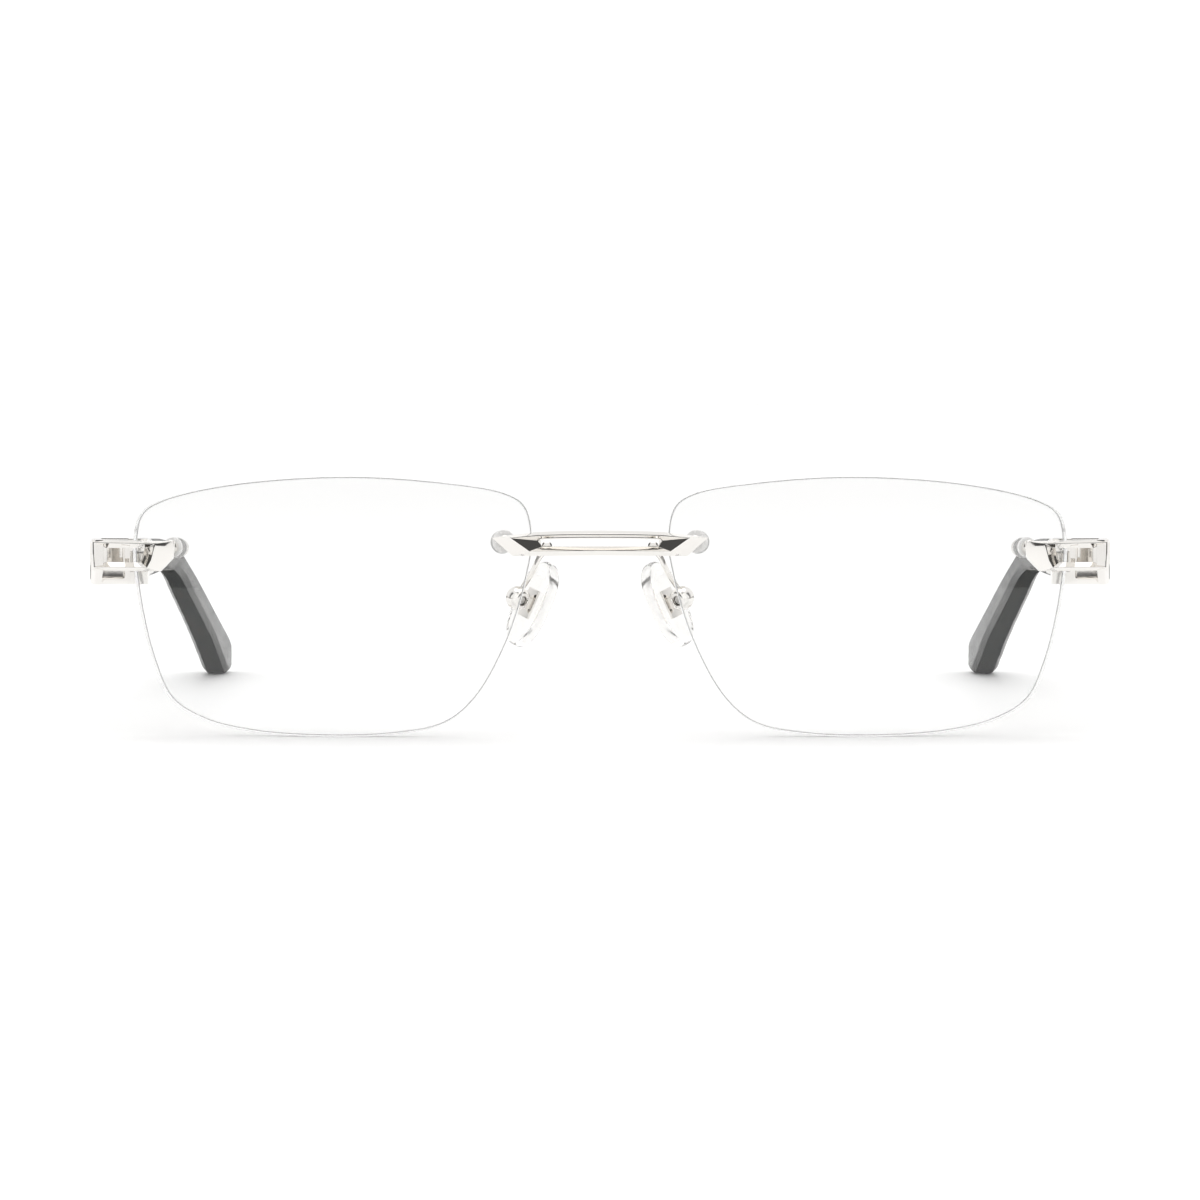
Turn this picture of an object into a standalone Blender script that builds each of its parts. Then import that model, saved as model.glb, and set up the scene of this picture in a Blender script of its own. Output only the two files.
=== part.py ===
"""Rimless eyeglasses, standing on the lower edges of the lenses and on the temple tips.

+X is the wearer's left, -Y is the way the front faces and +Z is up. The table is at z = 0.
Everything under an empty named for a side is modelled on the wearer's left; the right side's empty
mirrors it in X, so both sides share their meshes. Inside a side, y = 0 is the foremost point of the
lens, and the root empty moves the whole object so that its origin is the middle of its footprint.
"""

import math

import bmesh
import bpy
from mathutils import Matrix, Vector

MM = 0.001

# Overall: boxed lens, bridge and temple sizes
LENS_CENTRE = Vector((37.0, 0.0, 18.0)) * MM
LENS_CURVE_RADIUS = 120 * MM
LENS_WRAP = math.radians(4)
LENS_THICKNESS = 2.0 * MM
FOREMOST_Y = -2.9 * MM
REARMOST_Y = 151.2 * MM

# Lens outline as (x, z) in mm, from the outer side over the top, down the nose and along the foot
LENS_OUTLINE = (
    (64.8, 26.6), (63.9, 30.7), (61.2, 32.5), (51.9, 34.75), (36.0, 36.0), (21.8, 35.2), (12.8, 33.6),
    (10.3, 31.9), (9.3, 27.5), (10.05, 22.1), (12.9, 13.0), (17.3, 5.2), (21.5, 1.8), (28.5, 0.35),
    (38.4, 0.0), (48.0, 0.6), (55.0, 2.2), (59.6, 5.0), (62.1, 10.4), (64.2, 19.4),
)  # fmt: skip

# Lens mounts: a stud through a nylon bushing, held by a washer and a round nut behind the lens
NOSE_HOLE = (13.3 * MM, 27.0 * MM)
OUTER_HOLE = (59.0 * MM, 26.1 * MM)
LENS_HOLE_RADIUS = 1.08 * MM
BUSHING_RADIUS = 1.0 * MM
BUSHING_BORE = 0.78 * MM
STUD_RADIUS = 0.7 * MM
NOSE_BOSS_RADIUS = 0.8 * MM
NOSE_BOSS_START = -2.2 * MM
OUTER_BOSS_RADIUS = 0.95 * MM
OUTER_BOSS_START = -1.7 * MM
NOSE_FLANGE_RADIUS = 1.6 * MM
OUTER_FLANGE_RADIUS = 1.4 * MM
NUT_RADIUS = 1.25 * MM
GAP = 0.06 * MM
FLANGE_THICKNESS = 0.35 * MM
NUT_HEIGHT = 1.4 * MM

# Bridge: half outlines as (x, z) in mm, and the depths at which the facets meet
BRIDGE_OUTER = ((0, 28.6), (4.5, 28.55), (8.6, 28.4), (14.9, 27.65), (12.0, 25.1), (6.0, 25.15), (0, 25.2))
BRIDGE_RIDGE = ((0, 28.1), (4.5, 28.08), (8.6, 27.95), (12.2, 27.6), (9.5, 25.6), (5.0, 25.65), (0, 25.7))
BRIDGE_WINDOW = ((0, 27.5), (4.2, 27.48), (8.0, 27.4), (8.5, 27.2), (7.9, 26.4), (4.2, 26.4), (0, 26.4))
BRIDGE_BACK_Y = -0.6 * MM
BRIDGE_EDGE_Y = -1.4 * MM
BRIDGE_RIDGE_Y = -2.3 * MM
BRIDGE_BOW = 0.6 * MM
BRIDGE_HALF_WIDTH = 14.9 * MM

# Endpiece: a cage of two window frames that meet at the corner, in front view and in side view
CAGE_THICKNESS = 1.5 * MM
CAGE_CORNER_X = 70.2 * MM
CAGE_INNER_X = 58.5 * MM
CAGE_FRONT_BACK_Y = 2.45 * MM
CAGE_FRONT_SWEEP = math.radians(12)
CAGE_SIDE_FLARE = math.radians(8)
CAGE_FRONT_OUTER = ((58.6, 27.0), (70.2, 27.15), (70.2, 22.9), (60.6, 22.85), (58.9, 24.6), (58.5, 26.0))
CAGE_FRONT_RIDGE = ((61.05, 26.75), (69.8, 26.85), (69.8, 23.3), (62.3, 23.3), (61.65, 24.4), (61.2, 26.1))
CAGE_FRONT_WINDOW = ((62.6, 26.0), (68.6, 26.0), (68.6, 24.05), (63.2, 24.05), (63.0, 24.5), (62.65, 25.6))
CAGE_SIDE_OUTER = ((0, 27.15), (8.6, 27.15), (8.6, 20.7), (6.0, 20.7), (1.5, 22.9), (0, 22.9))
CAGE_SIDE_RIDGE = ((0.5, 26.7), (8.1, 26.7), (8.1, 21.2), (6.2, 21.2), (1.7, 23.3), (0.5, 23.3))
CAGE_SIDE_WINDOW = ((1.4, 26.0), (7.3, 25.9), (7.3, 22.2), (6.3, 22.2), (2.2, 24.1), (1.4, 24.1))

# Hinge: three barrels on a vertical screw, with a thin washer at each joint face
HINGE_AXIS = Vector((64.1, 13.45, 0)) * MM
BARREL_RADIUS = 1.15 * MM
HINGE_SCREW_RADIUS = 0.5 * MM
HINGE_BORE = 0.56 * MM
HINGE_PLATE_Y = (10.9 * MM, 12.0 * MM)
HINGE_Z = (20.7 * MM, 27.0 * MM)
TEMPLE_BARREL_Z = (22.75 * MM, 25.05 * MM)
HINGE_WASHER = 0.15 * MM
BARREL_GAP = 0.05 * MM

# Temple: metal ferrule sections as (y, inner x, outer x, lower z, upper z), then the horn's, in mm
FERRULE_SECTIONS = (
    (12.15, 65.6, 71.2, 20.7, 27.1),
    (25.4, 65.1, 70.1, 20.75, 26.6),
    (38.7, 64.6, 69.0, 20.8, 26.1),
)
HORN_SECTIONS = (
    (38.85, 64.6, 69.0, 20.8, 26.1),
    (54.0, 64.0, 68.0, 20.85, 25.5),
    (65.0, 63.6, 67.3, 20.6, 24.6),
    (76.0, 63.2, 66.9, 18.85, 22.6),
    (90.0, 62.8, 66.7, 15.2, 19.5),
    (106.0, 62.4, 66.5, 11.1, 15.7),
    (122.0, 62.0, 66.3, 6.8, 11.8),
    (137.0, 61.8, 66.1, 2.35, 8.5),
    (145.6, 61.7, 66.0, 0.04, 6.6),
    (150.6, 61.7, 65.9, 0.35, 5.3),
)
HORN_STEP = 7.0 * MM
PANEL_OUTLINE = ((2.4, 22.1), (20.5, 22.0), (20.5, 25.1), (2.4, 25.7))
PANEL_DEPTH = 0.35 * MM
TANG_THICKNESS = 1.2 * MM
TANG_HEIGHT = 2.6 * MM
TANG_START = Vector((66.8, 38.0, 23.45)) * MM
TANG_END = Vector((66.0, 54.0, 23.15)) * MM
RIVET_YS = (43.5 * MM, 50.0 * MM)
RIVET_RADIUS = 0.6 * MM

# Nose pads: each pad, its metal insert and the box on its arm share one tilted frame
PAD_CENTRE = Vector((9.4, 8.5, 18.0)) * MM
PAD_SPLAY = math.radians(36)
PAD_LEAN = math.radians(24)
PAD_HALF_LENGTH = 6.3 * MM
PAD_HALF_WIDTH = 3.6 * MM
PAD_HALF_THICKNESS = 1.1 * MM
PAD_POWER = 2.4
BOX_OFFSET = 2.75 * MM
BOX_RADIUS = 1.65 * MM
BOX_HALF_WIDTH = 1.4 * MM
LUG_THICKNESS = 0.9 * MM
LUG_RADIUS = 0.95 * MM
PAD_SCREW_RADIUS = 0.4 * MM
PAD_BORE = 0.47 * MM
ARM_RADIUS = 0.4 * MM
ARM_FOOT_RADIUS = 0.72 * MM
ARM_FOOT_Z = 26.0 * MM
ARM_ROUTE = (
    (7.3, -0.6, 26.0), (7.5, 0.3, 25.8), (8.3, 1.7, 24.9), (9.0, 3.6, 23.4),
    (9.65, 5.3, 22.1), (10.3, 6.3, 21.2), (10.75, 6.7, 20.55),
)  # fmt: skip

ROUND_SIDES = 16


# ---------------------------------------------------------------- scene, parents and materials


def clear_scene():
    for obj in list(bpy.data.objects):
        bpy.data.objects.remove(obj)


def new_collection(name):
    made = bpy.data.collections.new(name)
    bpy.context.scene.collection.children.link(made)
    return made


def new_empty(name, parent, matrix):
    empty = bpy.data.objects.new(name, None)
    PARTS.objects.link(empty)
    empty.parent = parent
    empty.matrix_local = matrix
    return empty


def new_material(name, colour, roughness, metallic=0.0, transmission=0.0):
    material = bpy.data.materials.new(name)
    material.use_nodes = True
    shader = material.node_tree.nodes["Principled BSDF"]
    shader.inputs["Base Color"].default_value = (*colour, 1.0)
    shader.inputs["Roughness"].default_value = roughness
    shader.inputs["Metallic"].default_value = metallic
    shader.inputs["Transmission Weight"].default_value = transmission
    return material


# ---------------------------------------------------------------- shapes


def mesh_object(name, bm):
    bmesh.ops.recalc_face_normals(bm, faces=bm.faces)
    mesh = bpy.data.meshes.new(name)
    bm.to_mesh(mesh)
    bm.free()
    obj = bpy.data.objects.new(name, mesh)
    PARTS.objects.link(obj)
    return obj


def loft(loops, closed_ring=False):
    """Skins closed loops that have the same number of points. A closed ring joins the last to the first."""
    bm = bmesh.new()
    rows = [[bm.verts.new(point) for point in loop] for loop in loops]
    count = len(rows[0])
    pairs = list(zip(rows, rows[1:]))
    if closed_ring:
        pairs.append((rows[-1], rows[0]))
    else:
        bm.faces.new(reversed(rows[0]))
        bm.faces.new(rows[-1])
    for row, following in pairs:
        for i in range(count):
            j = (i + 1) % count
            bm.faces.new((row[i], row[j], following[j], following[i]))
    return mesh_object("loft", bm)


def rod(radius, start, end, sides=ROUND_SIDES):
    start, end = Vector(start), Vector(end)
    bpy.ops.mesh.primitive_cylinder_add(vertices=sides, radius=radius, depth=(end - start).length)
    obj = bpy.context.object
    turn = (end - start).to_track_quat("Z", "Y").to_matrix().to_4x4()
    obj.data.transform(Matrix.Translation((start + end) / 2) @ turn)
    return obj


def block(low, high):
    low, high = Vector(low), Vector(high)
    bpy.ops.mesh.primitive_cube_add(size=1)
    obj = bpy.context.object
    obj.data.transform(Matrix.Translation((low + high) / 2) @ Matrix.Diagonal((*(high - low), 1)))
    return obj


def turned(profile, steps=ROUND_SIDES):
    """A ring turned about Z from a closed profile of (radius, z), which runs down its outer side."""
    bm = bmesh.new()
    verts = [bm.verts.new((radius, 0, z)) for radius, z in profile]
    for first, second in zip(verts, verts[1:] + verts[:1]):
        bm.edges.new((first, second))
    obj = mesh_object("turned", bm)
    screw = obj.modifiers.new("Turn", "SCREW")
    screw.steps = screw.render_steps = steps
    screw.use_merge_vertices = True
    screw.merge_threshold = 0.001 * MM
    screw.use_smooth_shade = False
    return obj


def combine(obj, *others, operation="UNION"):
    for other in others:
        modifier = obj.modifiers.new(operation.title(), "BOOLEAN")
        modifier.operation = operation
        modifier.object = other
        other.hide_render = True
        other.display_type = "WIRE"
    return bake(obj)


def cut(obj, *cutters):
    return combine(obj, *cutters, operation="DIFFERENCE")


def bake(obj):
    """Gives the object the mesh that its modifiers make, and removes the helpers of its Booleans."""
    helpers = [m.object for m in obj.modifiers if m.type == "BOOLEAN"]
    bpy.context.view_layer.update()
    graph = bpy.context.evaluated_depsgraph_get()
    mesh = bpy.data.meshes.new_from_object(obj.evaluated_get(graph))
    if obj.type == "CURVE":
        obj = swap_for_mesh(obj, mesh)
    else:
        obj.modifiers.clear()
        obj.data = mesh
    for helper in helpers:
        bpy.data.objects.remove(helper)
    return obj


def swap_for_mesh(curve, mesh):
    """The curve's mesh as an object, with its loose caps welded on."""
    bm = bmesh.new()
    bm.from_mesh(mesh)
    bmesh.ops.remove_doubles(bm, verts=bm.verts, dist=0.001 * MM)
    bpy.data.objects.remove(curve)
    return mesh_object("wire", bm)


def bevel(obj, width, segments=1, angle=math.radians(30)):
    modifier = obj.modifiers.new("Bevel", "BEVEL")
    modifier.width = width
    modifier.segments = segments
    modifier.limit_method = "ANGLE"
    modifier.angle_limit = angle
    return bake(obj)


def smooth_path(points, steps, closed=False):
    """Points along a centripetal Catmull-Rom curve through the given ones, steps to a span."""
    points = [Vector(p) for p in points]
    if closed:
        knots = [points[-1], *points, points[0], points[1]]
    else:
        knots = [2 * points[0] - points[1], *points, 2 * points[-1] - points[-2]]
    path = []
    for p0, p1, p2, p3 in zip(knots, knots[1:], knots[2:], knots[3:]):
        t0 = 0.0
        t1 = t0 + (p1 - p0).length ** 0.5
        t2 = t1 + (p2 - p1).length ** 0.5
        t3 = t2 + (p3 - p2).length ** 0.5
        for i in range(steps):
            t = t1 + (t2 - t1) * i / steps
            a1 = p0.lerp(p1, (t - t0) / (t1 - t0))
            a2 = p1.lerp(p2, (t - t1) / (t2 - t1))
            a3 = p2.lerp(p3, (t - t2) / (t3 - t2))
            b1 = a1.lerp(a2, (t - t0) / (t2 - t0))
            b2 = a2.lerp(a3, (t - t1) / (t3 - t1))
            path.append(b1.lerp(b2, (t - t1) / (t2 - t1)))
    if not closed:
        path.append(points[-1])
    return path


def wire(route, radius):
    """A round wire along a smooth route."""
    data = bpy.data.curves.new("wire", "CURVE")
    data.dimensions = "3D"
    data.bevel_depth = radius
    data.bevel_resolution = 2
    data.use_fill_caps = True
    path = smooth_path(route, 3)
    spline = data.splines.new("POLY")
    spline.points.add(len(path) - 1)
    for point, place in zip(spline.points, path):
        point.co = (*place, 1)
    obj = bpy.data.objects.new("wire", data)
    PARTS.objects.link(obj)
    return bake(obj)


# ---------------------------------------------------------------- lens surface and its mounts

LENS_SPHERE = LENS_CENTRE + LENS_CURVE_RADIUS * Vector((-math.sin(LENS_WRAP), math.cos(LENS_WRAP), 0))


def on_lens(x, z):
    """The point of the lens's front surface at that x and z."""
    across = (x - LENS_SPHERE.x) ** 2 + (z - LENS_SPHERE.z) ** 2
    return Vector((x, LENS_SPHERE.y - math.sqrt(LENS_CURVE_RADIUS**2 - across), z))


def mount_frame(hole):
    """A frame at a lens hole: origin on the front surface, +Z straight back through the lens."""
    point = on_lens(*hole)
    back = (LENS_SPHERE - point).normalized()
    return Matrix.Translation(point) @ back.to_track_quat("Z", "Y").to_matrix().to_4x4()


def stud_on(frame, boss_radius, boss_start):
    """The boss and the stud behind a metal end, in the side's frame."""
    boss = rod(boss_radius, (0, 0, boss_start), (0, 0, -FLANGE_THICKNESS - 2 * GAP))
    end = LENS_THICKNESS + FLANGE_THICKNESS + NUT_HEIGHT + 0.35 * MM
    stud = bevel(rod(STUD_RADIUS, (0, 0, boss_start / 2), (0, 0, end)), 0.12 * MM)
    both = combine(boss, stud)
    both.data.transform(frame)
    return both


def make_lens():
    rim = smooth_path([(x * MM, 0, z * MM) for x, z in LENS_OUTLINE], 2, closed=True)
    bm = bmesh.new()
    centre = bm.verts.new(on_lens(LENS_CENTRE.x, LENS_CENTRE.z))
    rings = []
    for share in (0.3, 0.6, 0.82, 1.0):
        flat = [LENS_CENTRE.lerp(p, share) for p in rim]
        rings.append([bm.verts.new(on_lens(p.x, p.z)) for p in flat])
    count = len(rim)
    for i in range(count):
        j = (i + 1) % count
        bm.faces.new((centre, rings[0][i], rings[0][j]))
        for inner, outer in zip(rings, rings[1:]):
            bm.faces.new((inner[i], outer[i], outer[j], inner[j]))
    lens = mesh_object("lens", bm)
    if lens.data.polygons[0].normal.y > 0:
        lens.data.flip_normals()
    solidify = lens.modifiers.new("Thickness", "SOLIDIFY")
    solidify.thickness = LENS_THICKNESS
    solidify.offset = -1
    solidify.use_even_offset = True
    drills = []
    for hole in (NOSE_HOLE, OUTER_HOLE):
        drill = rod(LENS_HOLE_RADIUS, (0, 0, -2 * MM), (0, 0, LENS_THICKNESS + 2 * MM))
        drill.data.transform(mount_frame(hole))
        drills.append(drill)
    return cut(lens, *drills)


def make_bushing(flange_radius):
    return bake(turned((
        (flange_radius, -GAP),
        (flange_radius, -GAP - FLANGE_THICKNESS),
        (BUSHING_BORE, -GAP - FLANGE_THICKNESS),
        (BUSHING_BORE, LENS_THICKNESS + GAP / 2),
        (BUSHING_RADIUS, LENS_THICKNESS + GAP / 2),
        (BUSHING_RADIUS, -GAP),
    )))  # fmt: skip


def make_washer(flange_radius):
    front = LENS_THICKNESS + 2 * GAP
    back = front + FLANGE_THICKNESS
    return bake(turned((
        (flange_radius, back), (flange_radius, front), (BUSHING_BORE, front), (BUSHING_BORE, back),
    )))  # fmt: skip


def make_nut():
    """A round nut with a domed back."""
    front = LENS_THICKNESS + FLANGE_THICKNESS + 3 * GAP
    back = front + NUT_HEIGHT
    return bake(turned((
        (0.95 * MM, back),
        (NUT_RADIUS - 0.1 * MM, back - 0.3 * MM),
        (NUT_RADIUS, back - 0.7 * MM),
        (NUT_RADIUS, front),
        (BUSHING_BORE, front),
        (BUSHING_BORE, back),
    )))  # fmt: skip


# ---------------------------------------------------------------- bridge


def bridge_loop(half, y):
    """A full closed loop from a half outline, bowed forward at the middle."""
    mirrored = [(-x, z) for x, z in reversed(half[1:-1])]
    loop = []
    for x, z in (*half, *mirrored):
        share = x * MM / BRIDGE_HALF_WIDTH
        loop.append((x * MM, y - BRIDGE_BOW * (1 - share**2), z * MM))
    return loop


def make_bridge():
    bar = loft(
        [
            bridge_loop(BRIDGE_OUTER, BRIDGE_BACK_Y),
            bridge_loop(BRIDGE_OUTER, BRIDGE_EDGE_Y),
            bridge_loop(BRIDGE_RIDGE, BRIDGE_RIDGE_Y),
            bridge_loop(BRIDGE_WINDOW, BRIDGE_EDGE_Y),
            bridge_loop(BRIDGE_WINDOW, BRIDGE_BACK_Y),
        ],
        closed_ring=True,
    )
    for side in (1, -1):
        flip = Matrix.Diagonal((side, 1, 1, 1))
        stud = stud_on(mount_frame(NOSE_HOLE), NOSE_BOSS_RADIUS, NOSE_BOSS_START)
        # The tab behind the bar bears on the lens edge and keeps the lens from turning on its stud.
        tab = block((8.1 * MM, -1.6 * MM, 26.5 * MM), (9.1 * MM, 2.9 * MM, 27.4 * MM))
        for extra in (stud, tab):
            extra.data.transform(flip)
            if side < 0:
                extra.data.flip_normals()
        bar = combine(bar, stud, tab)
    return bar


# ---------------------------------------------------------------- endpiece and hinge


def cage_front():
    """The front window frame, swept back towards the corner."""
    inner_end = Matrix.Translation((CAGE_INNER_X, CAGE_FRONT_BACK_Y, 0))
    sweep = inner_end @ Matrix.Rotation(CAGE_FRONT_SWEEP, 4, "Z")

    def loop(outline, forward):
        return [
            sweep @ Vector(((x * MM - CAGE_INNER_X) / math.cos(CAGE_FRONT_SWEEP), -forward, z * MM))
            for x, z in outline
        ]

    return loft(
        [
            loop(CAGE_FRONT_OUTER, 0),
            loop(CAGE_FRONT_OUTER, 0.8 * MM),
            loop(CAGE_FRONT_RIDGE, CAGE_THICKNESS),
            loop(CAGE_FRONT_WINDOW, 0.7 * MM),
            loop(CAGE_FRONT_WINDOW, 0),
        ],
        closed_ring=True,
    )


def cage_side():
    """The side window frame, which flares down and out towards the hinge."""
    rise = (CAGE_CORNER_X - CAGE_INNER_X) * math.tan(CAGE_FRONT_SWEEP)
    corner_y = CAGE_FRONT_BACK_Y + rise - CAGE_THICKNESS
    flare = Matrix.Translation((CAGE_CORNER_X, corner_y, 0)) @ Matrix.Rotation(-CAGE_SIDE_FLARE, 4, "Z")

    def loop(outline, outward):
        return [flare @ Vector((outward, y * MM, z * MM)) for y, z in outline]

    return loft(
        [
            loop(CAGE_SIDE_OUTER, -CAGE_THICKNESS),
            loop(CAGE_SIDE_OUTER, -0.5 * MM),
            loop(CAGE_SIDE_RIDGE, 0),
            loop(CAGE_SIDE_WINDOW, -0.7 * MM),
            loop(CAGE_SIDE_WINDOW, -CAGE_THICKNESS),
        ],
        closed_ring=True,
    )


def barrel(low, high):
    return rod(BARREL_RADIUS, HINGE_AXIS + Vector((0, 0, low)), HINGE_AXIS + Vector((0, 0, high)))


def hinge_bore(extra=0.0):
    below = HINGE_AXIS + Vector((0, 0, HINGE_Z[0] - MM))
    return rod(HINGE_BORE + extra, below, HINGE_AXIS + Vector((0, 0, HINGE_Z[1] + MM)))


def make_endpiece():
    plate_front, plate_back = HINGE_PLATE_Y
    low, high = HINGE_Z
    plate = bevel(block((65.4 * MM, plate_front, low), (71.2 * MM, plate_back, high)), 0.3 * MM)
    recess = block((66.4 * MM, plate_front - MM, 21.4 * MM), (69.8 * MM, plate_front + 0.5 * MM, 26.3 * MM))
    plate = cut(plate, recess)
    pieces = [cage_front(), cage_side(), plate]
    pieces.append(stud_on(mount_frame(OUTER_HOLE), OUTER_BOSS_RADIUS, OUTER_BOSS_START))
    # The tab behind the top bar bears on the lens edge.
    pieces.append(block((65.0 * MM, 3.0 * MM, 26.1 * MM), (66.2 * MM, 7.9 * MM, 26.9 * MM)))
    temple_low, temple_high = TEMPLE_BARREL_Z
    slack = HINGE_WASHER + 2 * BARREL_GAP
    for z0, z1 in ((low, temple_low - slack), (temple_high + slack, high)):
        pieces.append(barrel(z0, z1))
        pieces.append(block((62.95 * MM, plate_front, z0), (66.0 * MM, plate_back, z1)))
        pieces.append(block((62.95 * MM, plate_back - 0.3 * MM, z0), (65.2 * MM, HINGE_AXIS.y, z1)))
    cage = combine(pieces[0], *pieces[1:])
    seat = HINGE_AXIS + Vector((0, 0, high - 0.5 * MM))
    head = rod(0.86 * MM, seat, HINGE_AXIS + Vector((0, 0, high + MM)))
    return cut(cage, hinge_bore(), head)


def make_hinge_screw():
    low, high = HINGE_Z
    shank = rod(HINGE_SCREW_RADIUS, (0, 0, low + 0.1 * MM), (0, 0, high - 0.2 * MM))
    head = rod(0.8 * MM, (0, 0, high - 0.43 * MM), (0, 0, high - 0.03 * MM))
    slot = block((-1.2 * MM, -0.13 * MM, high - 0.2 * MM), (1.2 * MM, 0.13 * MM, high + MM))
    return cut(combine(head, shank), slot)


def make_hinge_washer(z):
    outer = BARREL_RADIUS - 0.05 * MM
    top = z + HINGE_WASHER
    return bake(turned(((outer, top), (outer, z), (HINGE_BORE, z), (HINGE_BORE, top))))


# ---------------------------------------------------------------- temple


def chamfered(y, inner, outer, low, high, chamfer):
    """A section across the temple, as a rectangle with its corners cut by an arc of three points."""
    half_x, half_z = (outer - inner) / 2, (high - low) / 2
    middle = Vector(((inner + outer) / 2, y, (low + high) / 2))
    loop = []
    for quarter, (sx, sz) in enumerate(((1, 1), (-1, 1), (-1, -1), (1, -1))):
        corner = middle + Vector((sx * (half_x - chamfer), 0, sz * (half_z - chamfer)))
        for step in range(3):
            angle = math.radians(90 * quarter + 45 * step)
            loop.append(corner + Vector((math.cos(angle), 0, math.sin(angle))) * chamfer)
    return loop


def tang(slack=0.0):
    """The tongue of the ferrule that the horn slides over. With slack it is the slot's cutter."""
    half_x = TANG_THICKNESS / 2 + slack
    half_z = TANG_HEIGHT / 2 + slack
    reach = Vector((0, 4 * slack, 0))
    loops = []
    for end in (TANG_START - reach, TANG_END + reach):
        loops.append([
            end + Vector((sx * half_x, 0, sz * half_z)) for sx, sz in ((1, 1), (-1, 1), (-1, -1), (1, -1))
        ])
    return loft(loops)


def rivet_rod(y, radius, inner=60 * MM, outer=72 * MM):
    share = (y - TANG_START.y) / (TANG_END.y - TANG_START.y)
    z = TANG_START.lerp(TANG_END, share).z
    return rod(radius, (inner, y, z), (outer, y, z))


def rivet_holes():
    return [rivet_rod(y, RIVET_RADIUS + GAP) for y in RIVET_YS]


def ferrule_panel():
    """The cutter of the shallow panel that is sunk in the ferrule's outer face."""
    front, rear = FERRULE_SECTIONS[0], FERRULE_SECTIONS[-1]
    taper = math.atan2(front[2] - rear[2], rear[0] - front[0])
    outer_face = Matrix.Translation((front[2] * MM, front[0] * MM, 0)) @ Matrix.Rotation(taper, 4, "Z")
    panel = loft([[(x, y * MM, z * MM) for y, z in PANEL_OUTLINE] for x in (-PANEL_DEPTH, 2 * MM)])
    panel.data.transform(outer_face)
    return panel


def make_ferrule():
    loops = [chamfered(*(v * MM for v in section), 0.45 * MM) for section in FERRULE_SECTIONS]
    body = loft(loops)
    low, high = TEMPLE_BARREL_Z
    web = block((64.1 * MM, 12.6 * MM, low), (66.2 * MM, 14.7 * MM, high))
    whole = combine(body, tang(), barrel(low, high), web)
    return cut(whole, ferrule_panel(), hinge_bore(), *rivet_holes())


def horn_sections():
    """The horn's sections at even steps, read from smooth curves through the listed ones."""
    edges = [
        smooth_path([(section[i] * MM, section[0] * MM, 0) for section in HORN_SECTIONS], 12)
        for i in range(1, 5)
    ]
    ys = [HORN_SECTIONS[0][0] * MM]
    end = HORN_SECTIONS[-1][0] * MM
    while ys[-1] + HORN_STEP < end - 10 * MM:
        ys.append(ys[-1] + HORN_STEP)
    ys += [end - 7.5 * MM, end - 4.4 * MM, end - 2.0 * MM, end - 0.8 * MM, end]
    return [(y, *(value_at(edge, y) for edge in edges)) for y in ys]


def value_at(edge, y):
    for first, second in zip(edge, edge[1:]):
        if first.y <= y <= second.y + 1e-9:
            return first.lerp(second, (y - first.y) / (second.y - first.y)).x
    return edge[-1].x


def make_horn():
    loops = [chamfered(*section, 0.7 * MM) for section in horn_sections()]
    tip = loops[-1]
    middle = sum(tip, Vector()) / len(tip)
    loops.append([middle.lerp(p, 0.72) + Vector((0, 0.6 * MM, 0)) for p in tip])
    return cut(loft(loops), tang(slack=GAP), *rivet_holes())


def make_rivet(y):
    inner = value_on_horn(y, 1) + 0.02 * MM
    outer = value_on_horn(y, 2) - 0.02 * MM
    return rivet_rod(y, RIVET_RADIUS, inner, outer)


def value_on_horn(y, column):
    edge = smooth_path([(section[column] * MM, section[0] * MM, 0) for section in HORN_SECTIONS], 12)
    return value_at(edge, y)


# ---------------------------------------------------------------- nose pads


def pad_frame():
    """+Z along the pad, +Y across it towards the face, -X towards the nose. Origin at the screw."""
    turn = Matrix.Rotation(-PAD_LEAN, 4, "Y") @ Matrix.Rotation(-PAD_SPLAY, 4, "Z")
    towards_nose = (turn @ Vector((-1, 0, 0))).normalized()
    return Matrix.Translation(PAD_CENTRE - towards_nose * BOX_OFFSET) @ turn


def make_pad():
    """A pillow whose outline is a superellipse."""
    bpy.ops.mesh.primitive_uv_sphere_add(segments=20, ring_count=10, radius=1)
    pad = bpy.context.object
    pad.data.transform(Matrix.Rotation(math.radians(90), 4, "Y"))
    for vert in pad.data.vertices:
        reach = math.hypot(vert.co.y, vert.co.z)
        if reach > 0.001:
            square = ((abs(vert.co.y) ** PAD_POWER + abs(vert.co.z) ** PAD_POWER) ** (1 / PAD_POWER)) / reach
            vert.co.y /= square
            vert.co.z /= square
    sizes = (PAD_HALF_THICKNESS, PAD_HALF_WIDTH, PAD_HALF_LENGTH)
    pad.data.transform(Matrix.Translation((-BOX_OFFSET, 0, 0)) @ Matrix.Diagonal((*sizes, 1)))
    return pad


def make_pad_insert():
    """The plate on the pad's back and the eye that turns on the screw."""
    face = -BOX_OFFSET + PAD_HALF_THICKNESS + GAP
    plate = bevel(block((face, -1.3 * MM, -2.1 * MM), (face + 0.3 * MM, 1.3 * MM, 2.1 * MM)), 0.1 * MM)
    half = LUG_THICKNESS / 2
    neck = block((face + 0.2 * MM, -half, -0.8 * MM), (0, half, 0.8 * MM))
    eye = rod(LUG_RADIUS, (0, -half, 0), (0, half, 0))
    bore = rod(PAD_BORE, (0, -2 * MM, 0), (0, 2 * MM, 0), 12)
    return cut(combine(plate, neck, eye), bore)


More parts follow.
